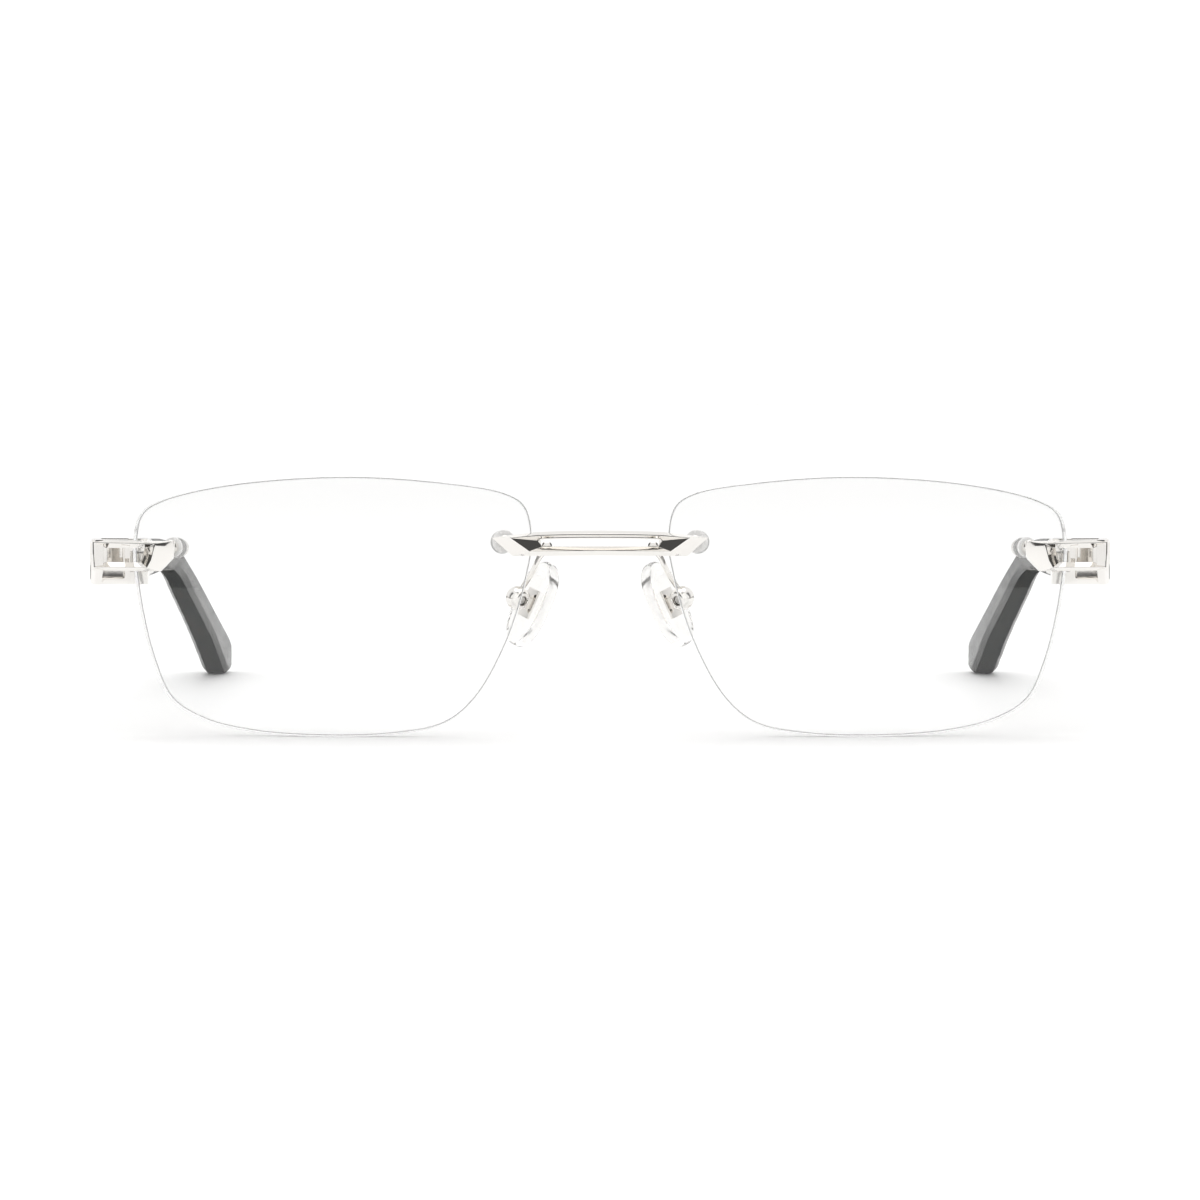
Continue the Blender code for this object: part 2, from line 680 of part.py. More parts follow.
def make_pad_box():
    width = BOX_HALF_WIDTH
    body = bevel(rod(BOX_RADIUS, (0, -width, 0), (0, width, 0), 20), 0.35 * MM)
    half = LUG_THICKNESS / 2 + 0.1 * MM
    slot = block((-3 * MM, -half, -3 * MM), (1.05 * MM, half, 3 * MM))
    # The cheeks are cut back on the pad's side, which leaves room for the pad to rock.
    flat = block((-3 * MM, -3 * MM, -3 * MM), (-0.95 * MM, 3 * MM, 3 * MM))
    bore = rod(PAD_BORE, (0, -3 * MM, 0), (0, 3 * MM, 0), 12)
    return cut(body, slot, flat, bore)


def make_pad_screw():
    width = BOX_HALF_WIDTH
    shank = rod(PAD_SCREW_RADIUS, (0, -width - 0.1 * MM, 0), (0, width + 0.1 * MM, 0), 12)
    head = rod(0.65 * MM, (0, -width - 0.38 * MM, 0), (0, -width - 0.04 * MM, 0))
    slot = block((-0.8 * MM, -width - MM, -0.1 * MM), (0.8 * MM, -width - 0.22 * MM, 0.1 * MM))
    return cut(combine(head, shank), slot)


def make_pad_arm():
    """A wire with a round foot, which is brazed to the back of the bridge's lower bar."""
    x, y, _ = (Vector(ARM_ROUTE[0]) * MM).to_tuple()
    foot = rod(ARM_FOOT_RADIUS, (x, y - 0.3 * MM, ARM_FOOT_Z), (x, y + 0.5 * MM, ARM_FOOT_Z))
    return combine(wire([Vector(p) * MM for p in ARM_ROUTE], ARM_RADIUS), foot)


# ---------------------------------------------------------------- assembly


def side_anchors(root):
    """For each side, the empties that its pieces hang on. The right side is the left one mirrored."""
    anchors = {}
    for side, sign in (("left", 1), ("right", -1)):
        base = new_empty(side, root, Matrix.Diagonal((sign, 1, 1, 1)))
        places = {
            "base": Matrix.Identity(4),
            "nose_mount": mount_frame(NOSE_HOLE),
            "outer_mount": mount_frame(OUTER_HOLE),
            "hinge": Matrix.Translation(HINGE_AXIS),
            "pad_pivot": pad_frame(),
        }
        anchors[side] = {
            place: new_empty(f"{side}_{place}", base, matrix) for place, matrix in places.items()
        }
    return anchors


def place(anchors, name, piece, anchor, material):
    """Makes the piece's left and right copies, which share its mesh, under an anchor."""
    mesh = piece.data
    mesh.materials.clear()
    mesh.materials.append(material)
    mesh.shade_smooth()
    mesh.set_sharp_from_angle(angle=math.radians(30))
    bpy.data.objects.remove(piece)
    for side, places in anchors.items():
        obj = bpy.data.objects.new(f"{name}_{side}", mesh)
        PARTS.objects.link(obj)
        obj.parent = places[anchor]


def moved_to(piece, frame):
    """Takes a piece modelled in the side's frame into an anchor's own frame."""
    piece.data.transform(frame.inverted())
    return piece


def main():
    middle = (FOREMOST_Y + REARMOST_Y) / 2
    root = new_empty("rimless_eyeglasses_root", None, Matrix.Translation((0, -middle, 0)))
    anchors = side_anchors(root)
    silver = new_material("polished_silver", (0.86, 0.86, 0.86), 0.08, metallic=1.0)
    glass = new_material("clear_lens", (0.98, 0.99, 1.0), 0.02, transmission=1.0)
    nylon = new_material("clear_nylon", (0.92, 0.92, 0.92), 0.2, transmission=0.8)
    silicone = new_material("clear_silicone", (0.95, 0.95, 0.94), 0.12, transmission=0.9)
    horn = new_material("black_horn", (0.012, 0.013, 0.014), 0.25)

    bridge = make_bridge()
    bridge.name = "bridge"
    bridge.data.materials.clear()
    bridge.data.materials.append(silver)
    bridge.parent = root

    place(anchors, "lens", make_lens(), "base", glass)
    for mount, radius in (("nose", NOSE_FLANGE_RADIUS), ("outer", OUTER_FLANGE_RADIUS)):
        place(anchors, f"{mount}_bushing", make_bushing(radius), f"{mount}_mount", nylon)
        place(anchors, f"{mount}_washer", make_washer(radius), f"{mount}_mount", nylon)
        place(anchors, f"{mount}_nut", make_nut(), f"{mount}_mount", silver)

    place(anchors, "endpiece", make_endpiece(), "base", silver)
    place(anchors, "hinge_screw", make_hinge_screw(), "hinge", silver)
    temple_low, temple_high = TEMPLE_BARREL_Z
    lower_washer = make_hinge_washer(temple_low - BARREL_GAP - HINGE_WASHER)
    place(anchors, "lower_hinge_washer", lower_washer, "hinge", nylon)
    place(anchors, "upper_hinge_washer", make_hinge_washer(temple_high + BARREL_GAP), "hinge", nylon)

    hinge = Matrix.Translation(HINGE_AXIS)
    place(anchors, "temple_ferrule", moved_to(make_ferrule(), hinge), "hinge", silver)
    place(anchors, "temple_horn", moved_to(make_horn(), hinge), "hinge", horn)
    for label, y in zip(("front", "rear"), RIVET_YS):
        place(anchors, f"{label}_rivet", moved_to(make_rivet(y), hinge), "hinge", silver)

    place(anchors, "pad_arm", make_pad_arm(), "base", silver)
    place(anchors, "pad_box", make_pad_box(), "pad_pivot", silver)
    place(anchors, "pad_screw", make_pad_screw(), "pad_pivot", silver)
    place(anchors, "pad_insert", make_pad_insert(), "pad_pivot", silver)
    place(anchors, "nose_pad", make_pad(), "pad_pivot", silicone)


clear_scene()
PARTS = new_collection("rimless_eyeglasses")
main()
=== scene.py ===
"""Looks of the rimless eyeglasses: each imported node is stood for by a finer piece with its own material.

Pieces are modelled on the wearer's left in the side's own frame, where y = 0 is the lens's foremost
plane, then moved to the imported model's place. The right side's pieces are the left ones mirrored in X.
"""

import math

import bmesh
import bpy
from mathutils import Matrix, Vector


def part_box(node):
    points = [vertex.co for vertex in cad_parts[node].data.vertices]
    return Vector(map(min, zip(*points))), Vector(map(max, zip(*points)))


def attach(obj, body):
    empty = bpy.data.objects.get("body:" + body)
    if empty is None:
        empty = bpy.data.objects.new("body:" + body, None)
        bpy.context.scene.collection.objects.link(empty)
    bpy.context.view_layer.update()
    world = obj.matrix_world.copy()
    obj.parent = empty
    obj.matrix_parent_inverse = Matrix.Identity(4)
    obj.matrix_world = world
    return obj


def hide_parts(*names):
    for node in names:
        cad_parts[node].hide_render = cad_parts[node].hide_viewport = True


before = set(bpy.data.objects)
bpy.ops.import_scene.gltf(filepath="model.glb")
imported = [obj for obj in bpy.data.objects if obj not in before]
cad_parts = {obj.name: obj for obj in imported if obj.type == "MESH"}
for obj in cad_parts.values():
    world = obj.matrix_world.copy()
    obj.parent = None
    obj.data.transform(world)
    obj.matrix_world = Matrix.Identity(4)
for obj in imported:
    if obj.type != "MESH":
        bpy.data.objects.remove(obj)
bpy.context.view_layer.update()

MM = 0.001

# Lens
LENS_CENTRE = Vector((37.0, 0.0, 18.0)) * MM
LENS_CURVE_RADIUS = 120 * MM
LENS_WRAP = math.radians(4)
LENS_THICKNESS = 2.0 * MM
SAFETY_BEVEL = 0.08 * MM
LENS_RING_SHARES = (0.06, 0.16, 0.28, 0.4, 0.52, 0.64, 0.75, 0.85, 0.93)
LENS_CLEAR, LENS_BEVEL, LENS_WALL = range(3)  # its material slots
LENS_OUTLINE = (
    (64.8, 26.6), (63.9, 30.7), (61.2, 32.5), (51.9, 34.75), (36.0, 36.0), (21.8, 35.2), (12.8, 33.6),
    (10.3, 31.9), (9.3, 27.5), (10.05, 22.1), (12.9, 13.0), (17.3, 5.2), (21.5, 1.8), (28.5, 0.35),
    (38.4, 0.0), (48.0, 0.6), (55.0, 2.2), (59.6, 5.0), (62.1, 10.4), (64.2, 19.4),
)  # fmt: skip
NOSE_HOLE = (13.3 * MM, 27.0 * MM)
OUTER_HOLE = (59.0 * MM, 26.1 * MM)
LENS_HOLE_RADIUS = 1.08 * MM

# Mounts: bosses as (radius, start), where a negative start lies in front of the lens
NOSE_BOSS = (0.8 * MM, -2.2 * MM)
OUTER_BOSS = (0.95 * MM, -1.7 * MM)
BOSS_EDGE = 0.1 * MM
STUD_RADIUS = 0.7 * MM
STUD_EDGE = 0.12 * MM
STUD_PAST_NUT = 0.35 * MM
GAP = 0.06 * MM
SLEEVE_BORE = 0.78 * MM
SLEEVE_RADIUS = 1.0 * MM
NOSE_FLANGE_RADIUS = 1.6 * MM
OUTER_FLANGE_RADIUS = 1.4 * MM
FLANGE_THICKNESS = 0.35 * MM
FLANGE_CHAMFER = 0.08 * MM
FLANGE_SHOULDER = 0.27 * MM
WASHER_FRONT_CHAMFER = 0.06 * MM
WASHER_BACK_CHAMFER = 0.1 * MM
NUT_BORE = 0.8 * MM
NUT_FLAT_RADIUS = 1.2 * MM
NUT_RADIUS = 1.25 * MM
NUT_CHAMFER = 0.05 * MM
NUT_HEIGHT = 1.4 * MM
NUT_CROWN_RADIUS = 0.85 * MM
NUT_DOME_START = 0.8 * MM
NUT_DOME_WIDTH = 0.4 * MM
NUT_DOME_HEIGHT = 0.6 * MM
NUT_DOME_STEPS = 6

# Bridge: half outlines as (x, z) in mm
BRIDGE_BOW = 0.6 * MM
BRIDGE_HALF_WIDTH = 14.9 * MM
BRIDGE_OUTER = (
    (0, 28.6), (4.5, 28.55), (8.6, 28.4), (14.9, 27.65), (12.0, 25.1), (6.0, 25.15), (0, 25.2),
)  # fmt: skip
BRIDGE_RIDGE = (
    (0, 28.2), (4.5, 28.16), (8.6, 28.03), (12.46, 27.66), (9.54, 25.64), (5.0, 25.69), (0, 25.74),
)  # fmt: skip
BRIDGE_CREST = (
    (0, 28.04), (4.5, 28.0), (8.6, 27.87), (12.26, 27.6), (9.66, 25.78), (5.0, 25.85), (0, 25.9),
)  # fmt: skip
BRIDGE_LIP = (
    (0, 27.66), (4.2, 27.64), (8.0, 27.52), (8.7, 27.25), (8.05, 26.38), (4.2, 26.38), (0, 26.38),
)  # fmt: skip
BRIDGE_WINDOW = (
    (0, 27.48), (4.2, 27.46), (7.9, 27.36), (8.5, 27.12), (7.9, 26.42), (4.2, 26.42), (0, 26.42),
)  # fmt: skip
BRIDGE_BACK_Y = -0.6 * MM
BRIDGE_SHOULDER_Y = -1.4 * MM
BRIDGE_RIDGE_Y = -2.28 * MM
BRIDGE_CREST_Y = -2.3 * MM
BRIDGE_LIP_Y = -1.46 * MM
BRIDGE_SILL_Y = -1.44 * MM
BRIDGE_EDGE = 0.05 * MM
BRIDGE_TAB = ((8.1, -1.6, 26.5), (9.1, 2.9, 27.4))
FOREMOST_Y = -2.9 * MM

# Endpiece cage: front outlines as (x, z) and side outlines as (y, z) in mm
CAGE_THICKNESS = 1.5 * MM
CAGE_EDGE = 0.06 * MM
CREST_SHARE = 0.15
CREST_RISE = 0.01 * MM
CAGE_FRONT_SHOULDER = 0.8 * MM
CAGE_FRONT_SILL = 0.25 * MM
CAGE_SIDE_SHOULDER = -0.5 * MM
CAGE_SIDE_SILL = -1.25 * MM
ENDPIECE_TAB = ((65.0, 3.0, 26.1), (66.2, 7.9, 26.9))
CAGE_CORNER_X = 70.2 * MM
CAGE_INNER_X = 58.5 * MM
CAGE_FRONT_BACK_Y = 2.45 * MM
CAGE_FRONT_SWEEP = math.radians(12)
CAGE_SIDE_FLARE = math.radians(8)
CAGE_FRONT_OUTER = ((58.6, 27.0), (70.2, 27.15), (70.2, 22.9), (60.6, 22.85), (58.9, 24.6), (58.5, 26.0))
CAGE_FRONT_RIDGE = (
    (60.8, 26.75), (69.85, 26.85), (69.85, 23.3), (62.0, 23.3), (61.4, 24.4), (60.95, 26.1),
)  # fmt: skip
CAGE_FRONT_WINDOW = (
    (62.95, 26.0), (68.2, 26.0), (68.2, 24.05), (63.5, 24.05), (63.35, 24.5), (63.0, 25.6),
)  # fmt: skip
CAGE_SIDE_OUTER = ((0, 27.15), (8.6, 27.15), (8.6, 20.7), (6.0, 20.7), (1.5, 22.9), (0, 22.9))
CAGE_SIDE_RIDGE = ((0.5, 26.7), (8.1, 26.7), (8.1, 21.2), (6.2, 21.2), (1.7, 23.3), (0.5, 23.3))
CAGE_SIDE_WINDOW = ((1.4, 26.0), (7.3, 25.9), (7.3, 22.2), (6.3, 22.2), (2.2, 24.1), (1.4, 24.1))

# Hinge
HINGE_AXIS = Vector((64.1, 13.45, 0)) * MM
BARREL_RADIUS = 1.15 * MM
HINGE_BORE = 0.56 * MM
HINGE_PLATE_Y = (10.9 * MM, 12.0 * MM)
HINGE_Z = (20.7 * MM, 27.0 * MM)
TEMPLE_BARREL_Z = (22.75 * MM, 25.05 * MM)
BARREL_EDGE = 0.12 * MM
BARREL_SLACK = 0.25 * MM
HINGE_PLATE_X = (65.4 * MM, 71.2 * MM)
HINGE_PLATE_EDGE = 0.3 * MM
RECESS_X = (66.4 * MM, 69.8 * MM)
RECESS_Z = (21.4 * MM, 26.3 * MM)
RECESS_DEPTH = 0.5 * MM
RECESS_EDGE = 0.4 * MM
KNUCKLE_X = (62.95 * MM, 66.0 * MM)
KNUCKLE_WEB_END = 65.2 * MM
KNUCKLE_OVERLAP = 0.3 * MM
SCREW_WELL_RADIUS = 0.86 * MM
SCREW_WELL_DEPTH = 0.5 * MM
HINGE_SHANK_RADIUS = 0.5 * MM
HINGE_HEAD_RADIUS = 0.8 * MM
HINGE_WASHER_THICKNESS = 0.15 * MM
LOWER_WASHER_DROP = 0.2 * MM
UPPER_WASHER_RISE = 0.05 * MM

# Temple: sections as (y, inner x, outer x, lower z, upper z) in mm
FERRULE_SECTIONS = (
    (12.15, 65.6, 71.2, 20.7, 27.1),
    (25.4, 65.1, 70.1, 20.75, 26.6),
    (38.7, 64.6, 69.0, 20.8, 26.1),
)
FERRULE_CHAMFER = 0.45 * MM
TEMPLE_WEB_X = (64.1 * MM, 66.2 * MM)
TEMPLE_WEB_Y = (12.6 * MM, 14.7 * MM)
HORN_SECTIONS = (
    (38.85, 64.6, 69.0, 20.8, 26.1),
    (54.0, 64.0, 68.0, 20.85, 25.5),
    (65.0, 63.6, 67.3, 20.6, 24.6),
    (76.0, 63.2, 66.9, 18.85, 22.6),
    (90.0, 62.8, 66.7, 15.2, 19.5),
    (106.0, 62.4, 66.5, 11.1, 15.7),
    (122.0, 62.0, 66.3, 6.8, 11.8),
    (137.0, 61.8, 66.1, 2.35, 8.5),
    (145.6, 61.7, 66.0, 0.04, 6.6),
    (150.6, 61.7, 65.9, 0.35, 5.3),
)
HORN_STEPS = 64
HORN_CHAMFER = 0.45 * MM
HORN_CHAMFER_GROWTH = 0.35 * MM
HORN_GROWTH_STEPS = 12
HORN_EDGE = 0.14 * MM
HORN_EDGE_ANGLE = math.radians(20)
TIP_RINGS = ((0.9, 0.35), (0.8, 0.2), (0.72, 0.05))  # (share of the ring before, mm further out)
# Down-facing horn faces behind this get the copy without reflection: painted shade on the underside
SHADED_UNDERSIDE_FROM_Y = 66 * MM
FACING_DOWN = -0.8
PANEL_OUTLINE = ((2.4, 22.1), (20.5, 22.0), (20.5, 25.1), (2.4, 25.7))
PANEL_DEPTH = 0.35 * MM
PANEL_EDGE = 0.25 * MM
RIVET_YS = (43.5 * MM, 50.0 * MM)
RIVET_RADIUS = 0.6 * MM
RIVET_PROUD = 0.04 * MM
RIVET_EDGE = 0.08 * MM
TANG_START = Vector((66.8, 38.0, 23.45)) * MM
TANG_END = Vector((66.0, 54.0, 23.15)) * MM
TANG_HALF_WIDTH = 0.6 * MM
TANG_HALF_HEIGHT = 1.3 * MM

# Nose pads: the profile as (share of the outline, x in mm)
PAD_CENTRE = Vector((9.4, 8.5, 18.0)) * MM
PAD_SPLAY = math.radians(36)
PAD_LEAN = math.radians(24)
PAD_HALF_LENGTH = 6.3 * MM
PAD_HALF_WIDTH = 3.6 * MM
PAD_POWER = 2.4
PAD_POINTS = 72
PAD_PROFILE = (
    (0.05, 0.5), (0.4, 0.5), (0.6, 0.5), (0.655, 0.53), (0.69, 0.64), (0.72, 0.8), (0.755, 0.95),
    (0.8, 1.02), (0.85, 1.02), (0.9, 0.93), (0.945, 0.74), (0.975, 0.5), (0.993, 0.24), (1.0, 0.0),
    (0.993, -0.24), (0.975, -0.47), (0.94, -0.7), (0.88, -0.9), (0.78, -1.03), (0.6, -1.09),
    (0.35, -1.1), (0.05, -1.1),
)  # fmt: skip
BOX_OFFSET = 2.75 * MM
BOX_RADIUS = 1.65 * MM
BOX_HALF_WIDTH = 1.4 * MM
BOX_CROWN = 0.7 * MM
BOX_TURN = math.radians(80)
BOX_STEPS = 12
BOX_SIDES = 64
BOX_EDGE = 0.05 * MM
BOX_SLOT_END = 1.05 * MM
BOX_SLOT_SLACK = 0.1 * MM
BOX_FLAT_X = -0.95 * MM
BOX_WELL_RADIUS = 0.72 * MM
LUG_THICKNESS = 0.9 * MM
LUG_EYE_RADIUS = 0.93 * MM
INSERT_DEPTH = 0.46 * MM
PAD_BORE = 0.47 * MM
PAD_SHANK_RADIUS = 0.4 * MM
PAD_HEAD_RADIUS = 0.64 * MM
SCREW_FACE_DEPTH = 0.4 * MM
SCREW_HEAD_DEPTH = 0.72 * MM
ARM_RADIUS = 0.4 * MM
ARM_FOOT_Z = 26.4 * MM
ARM_FOOT_RADIUS = 0.72 * MM
ARM_FOOT_EDGE = 0.2 * MM
ARM_ROUTE = (
    (7.3, -0.6, 26.0), (7.5, 0.3, 25.8), (8.3, 1.7, 24.9), (9.0, 3.6, 23.4),
    (9.65, 5.3, 22.1), (10.3, 6.3, 21.2), (10.75, 6.7, 20.55),
)  # fmt: skip

# Meshes
ROUND_SIDES = 48
WIRE_SIDES = 20
CURVE_STEPS = 8
BRIDGE_CURVE_STEPS = 4
HORN_CURVE_STEPS = 16
SOFT_EDGE = 0.07 * MM
FINE_EDGE = 0.04 * MM
BEVEL_ANGLE = math.radians(25)
SHARP_ANGLE = math.radians(38)
OVERSHOOT = 2 * MM
CUTTER_REACH = 3 * MM

# Materials: most of a noise texture's values lie between these
NOISE_LOW, NOISE_HIGH = 0.3, 0.7

# Studio
ROOM_LIGHT = 1.14
REFLECTED_LIGHT = 0.96
UNLIT_WALL = 0.07
UNLIT_BELOW = (0.8, 0.62)  # heights of a direction between which the unlit wall fades in
UNLIT_AHEAD = (0.4, 0.05)  # the same for its backward part
ROOM_COLOUR = (1.0, 0.996, 0.99, 1)
LIGHT_PLACE = Vector((0.0, 0.1, 0.8))
LIGHT_SIZE = 0.9
LIGHT_ENERGY = 1.2
FLOOR_HALF_WIDTH = 6
CAMERA_PLACE = Vector((0, -0.7, 0.0513))
CAMERA_TILT_DEGREES = 2.643
CAMERA_LENS = 152.7
CAMERA_SENSOR = 36

# From the side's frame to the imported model's frame
TO_FRAME = Matrix.Translation((0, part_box("bridge")[0].y - FOREMOST_Y, 0))
MIRROR_X = Matrix.Diagonal((-1, 1, 1, 1))


# ---------------------------------------------------------------- mesh helpers


def scaled(*values):
    """Millimetres to metres."""
    return tuple(value * MM for value in values)


def mesh_object(name, bm):
    bmesh.ops.recalc_face_normals(bm, faces=bm.faces)
    mesh = bpy.data.meshes.new(name)
    bm.to_mesh(mesh)
    bm.free()
    obj = bpy.data.objects.new(name, mesh)
    bpy.context.scene.collection.objects.link(obj)
    return obj


def loft(loops, closed_ring=False):
    """Skins closed loops of equal point counts. A closed ring joins the last loop to the first."""
    bm = bmesh.new()
    rows = [[bm.verts.new(point) for point in loop] for loop in loops]
    count = len(rows[0])
    pairs = list(zip(rows, rows[1:]))
    if closed_ring:
        pairs.append((rows[-1], rows[0]))
    else:
        bm.faces.new(reversed(rows[0]))
        bm.faces.new(rows[-1])
    for row, following in pairs:
        for i in range(count):
            j = (i + 1) % count
            bm.faces.new((row[i], row[j], following[j], following[i]))
    return mesh_object("loft", bm)


def circle(radius, centre, across, up, sides):
    return [
        centre + across * (radius * math.cos(turn)) + up * (radius * math.sin(turn))
        for turn in (math.tau * i / sides for i in range(sides))
    ]


def rod(radius, start, end, edge=0.0):
    """A cylinder between two points, with an optional chamfer at both ends."""
    start, end = Vector(start), Vector(end)
    along = (end - start).normalized()
    across = along.orthogonal().normalized()
    up = along.cross(across)
    stops = [(start + along * edge, radius), (end - along * edge, radius)]
    if edge:
        stops = [(start, radius - edge), *stops, (end, radius - edge)]
    return loft([circle(r, p, across, up, ROUND_SIDES) for p, r in stops])


def block(low, high, edge=SOFT_EDGE):
    """A box between two corners, with rounded edges unless edge is 0."""
    low, high = Vector(low), Vector(high)
    bm = bmesh.new()
    bmesh.ops.create_cube(bm, size=1)
    obj = mesh_object("block", bm)
    obj.data.transform(Matrix.Translation((low + high) / 2) @ Matrix.Diagonal((*(high - low), 1)))
    return bevel(obj, edge) if edge else obj


def turned(profile):
    """A ring turned about Z from a closed profile of (radius, z)."""
    loops = []
    for i in range(ROUND_SIDES):
        turn = math.tau * i / ROUND_SIDES
        loops.append([(r * math.cos(turn), r * math.sin(turn), z) for r, z in profile])
    return loft(loops, closed_ring=True)


def bake(obj):
    """Gives the object the mesh that its modifiers make, and removes their helpers."""
    helpers = [m.object for m in obj.modifiers if m.type == "BOOLEAN"]
    bpy.context.view_layer.update()
    graph = bpy.context.evaluated_depsgraph_get()
    mesh = bpy.data.meshes.new_from_object(obj.evaluated_get(graph))
    obj.modifiers.clear()
    obj.data = mesh
    for helper in helpers:
        bpy.data.objects.remove(helper)
    return obj


def combine(obj, *others, operation="UNION"):
    for other in others:
        modifier = obj.modifiers.new(operation.title(), "BOOLEAN")
        modifier.operation = operation
        modifier.object = other
    return bake(obj)


def cut(obj, *cutters):
    return combine(obj, *cutters, operation="DIFFERENCE")


def bevel(obj, width=SOFT_EDGE, segments=2, angle=BEVEL_ANGLE):
    modifier = obj.modifiers.new("Bevel", "BEVEL")
    modifier.width = width
    modifier.segments = segments
    modifier.limit_method = "ANGLE"
    modifier.angle_limit = angle
    return bake(obj)


def smooth_path(points, steps, closed=False):
    """Points along a centripetal Catmull-Rom curve through the given ones, steps to a span."""
    points = [Vector(p) for p in points]
    if closed:
        knots = [points[-1], *points, points[0], points[1]]
    else:
        knots = [2 * points[0] - points[1], *points, 2 * points[-1] - points[-2]]
    path = []
    for p0, p1, p2, p3 in zip(knots, knots[1:], knots[2:], knots[3:]):
        t0 = 0.0
        t1 = t0 + (p1 - p0).length ** 0.5
        t2 = t1 + (p2 - p1).length ** 0.5
        t3 = t2 + (p3 - p2).length ** 0.5
        for i in range(steps):
            t = t1 + (t2 - t1) * i / steps
            a1 = p0.lerp(p1, (t - t0) / (t1 - t0))
            a2 = p1.lerp(p2, (t - t1) / (t2 - t1))
            a3 = p2.lerp(p3, (t - t2) / (t3 - t2))
            b1 = a1.lerp(a2, (t - t0) / (t2 - t0))
            b2 = a2.lerp(a3, (t - t1) / (t3 - t1))
            path.append(b1.lerp(b2, (t - t1) / (t2 - t1)))
    if not closed:
        path.append(points[-1])
    return path


def wire(route, radius):
    """A round wire along a smooth route."""
    path = smooth_path(route, CURVE_STEPS)
    loops = []
    across = Vector((1, 0, 0))
    for i, point in enumerate(path):
        along = (path[min(i + 1, len(path) - 1)] - path[max(i - 1, 0)]).normalized()
        across = (across - along * across.dot(along)).normalized()
        loops.append(circle(radius, point, across, along.cross(across), WIRE_SIDES))
    return loft(loops)


# ---------------------------------------------------------------- placing pieces


def dress(obj, name, node, body, materials):
    """Names the piece, gives it its materials and smooth shading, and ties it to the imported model."""
    obj.name = name
    obj.data.name = name
    for material in materials:
        obj.data.materials.append(material)
    obj.data.shade_smooth()
    obj.data.set_sharp_from_angle(angle=SHARP_ANGLE)
    weighted = obj.modifiers.new("Flat faces stay flat", "WEIGHTED_NORMAL")
    weighted.keep_sharp = True
    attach(obj, body)
    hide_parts(node)


def place(name, piece, body, slot, *materials):
    """Makes the left and the right piece. A body name with a star takes the side's name."""
    mesh = piece.data
    bpy.data.objects.remove(piece)
    for side, mirrored in (("left", False), ("right", True)):
        own = mesh.copy()
        own.transform(TO_FRAME)
        if mirrored:
            own.transform(MIRROR_X)
            own.flip_normals()
        obj = bpy.data.objects.new(f"fine_{name}_{side}", own)
        bpy.context.scene.collection.objects.link(obj)
        dress(obj, obj.name, f"{name}_{side}", body.replace("*", side), materials)


# ---------------------------------------------------------------- lens and mounts

LENS_SPHERE = LENS_CENTRE + LENS_CURVE_RADIUS * Vector((-math.sin(LENS_WRAP), math.cos(LENS_WRAP), 0))


def on_lens(x, z, depth=0.0):
    """The point of the lens at that x and z, at a depth behind its front surface."""
    across = (x - LENS_SPHERE.x) ** 2 + (z - LENS_SPHERE.z) ** 2
    front = Vector((x, LENS_SPHERE.y - math.sqrt(LENS_CURVE_RADIUS**2 - across), z))
    return front + (LENS_SPHERE - front).normalized() * depth


def mount_frame(hole):
    """The frame of a lens hole: its origin on the lens's front, its Z towards the back."""
    point = on_lens(*hole)
    back = (LENS_SPHERE - point).normalized()
    return Matrix.Translation(point) @ back.to_track_quat("Z", "Y").to_matrix().to_4x4()


def make_lens():
    """Rings from the front's middle over the rim to the back's middle, then two drilled holes."""
    rim = smooth_path([(x * MM, 0, z * MM) for x, z in LENS_OUTLINE], CURVE_STEPS, closed=True)

    def ring(share, inset, depth):
        loop = []
        for p in rim:
            flat = LENS_CENTRE.lerp(p, share - inset / (p - LENS_CENTRE).length)
            loop.append(on_lens(flat.x, flat.z, depth))
        return loop

    front = [ring(share, 0.0, 0.0) for share in LENS_RING_SHARES]
    edge = [
        ring(1.0, SAFETY_BEVEL, 0.0),
        ring(1.0, 0.0, SAFETY_BEVEL),
        ring(1.0, 0.0, LENS_THICKNESS - SAFETY_BEVEL),
        ring(1.0, SAFETY_BEVEL, LENS_THICKNESS),
    ]
    back = [ring(share, 0.0, LENS_THICKNESS) for share in reversed(LENS_RING_SHARES)]
    lens = loft([*front, *edge, *back])
    rim_row = len(front)
    slots = {rim_row: LENS_BEVEL, rim_row + 1: LENS_WALL, rim_row + 2: LENS_BEVEL}
    caps = 2  # loft makes these two faces first
    for index, face in enumerate(lens.data.polygons):
        face.material_index = slots.get((index - caps) // len(rim), LENS_CLEAR)
    drills = []
    for hole in (NOSE_HOLE, OUTER_HOLE):
        drill = rod(LENS_HOLE_RADIUS, (0, 0, -OVERSHOOT), (0, 0, LENS_THICKNESS + OVERSHOOT))
        drill.data.transform(mount_frame(hole))
        drills.append(drill)
    return cut(lens, *drills)


def make_bushing(flange, hole):
    """A sleeve through the lens, with a chamfered flange in front."""
    front, back = -GAP - FLANGE_THICKNESS, LENS_THICKNESS + GAP / 2
    chamfered = flange - FLANGE_CHAMFER
    bushing = turned((
        (chamfered, -GAP), (flange, -GAP - FLANGE_CHAMFER), (flange, -GAP - FLANGE_SHOULDER),
        (chamfered, front), (SLEEVE_BORE, front), (SLEEVE_BORE, back),
        (SLEEVE_RADIUS, back), (SLEEVE_RADIUS, -GAP),
    ))  # fmt: skip
    bushing.data.transform(mount_frame(hole))
    return bushing


def make_washer(flange, hole):
    front = LENS_THICKNESS + 2 * GAP
    back = front + FLANGE_THICKNESS
    washer = turned((
        (flange - WASHER_BACK_CHAMFER, back), (flange, back - WASHER_BACK_CHAMFER),
        (flange, front + WASHER_FRONT_CHAMFER), (flange - WASHER_FRONT_CHAMFER, front),
        (SLEEVE_BORE, front), (SLEEVE_BORE, back),
    ))  # fmt: skip
    washer.data.transform(mount_frame(hole))
    return washer


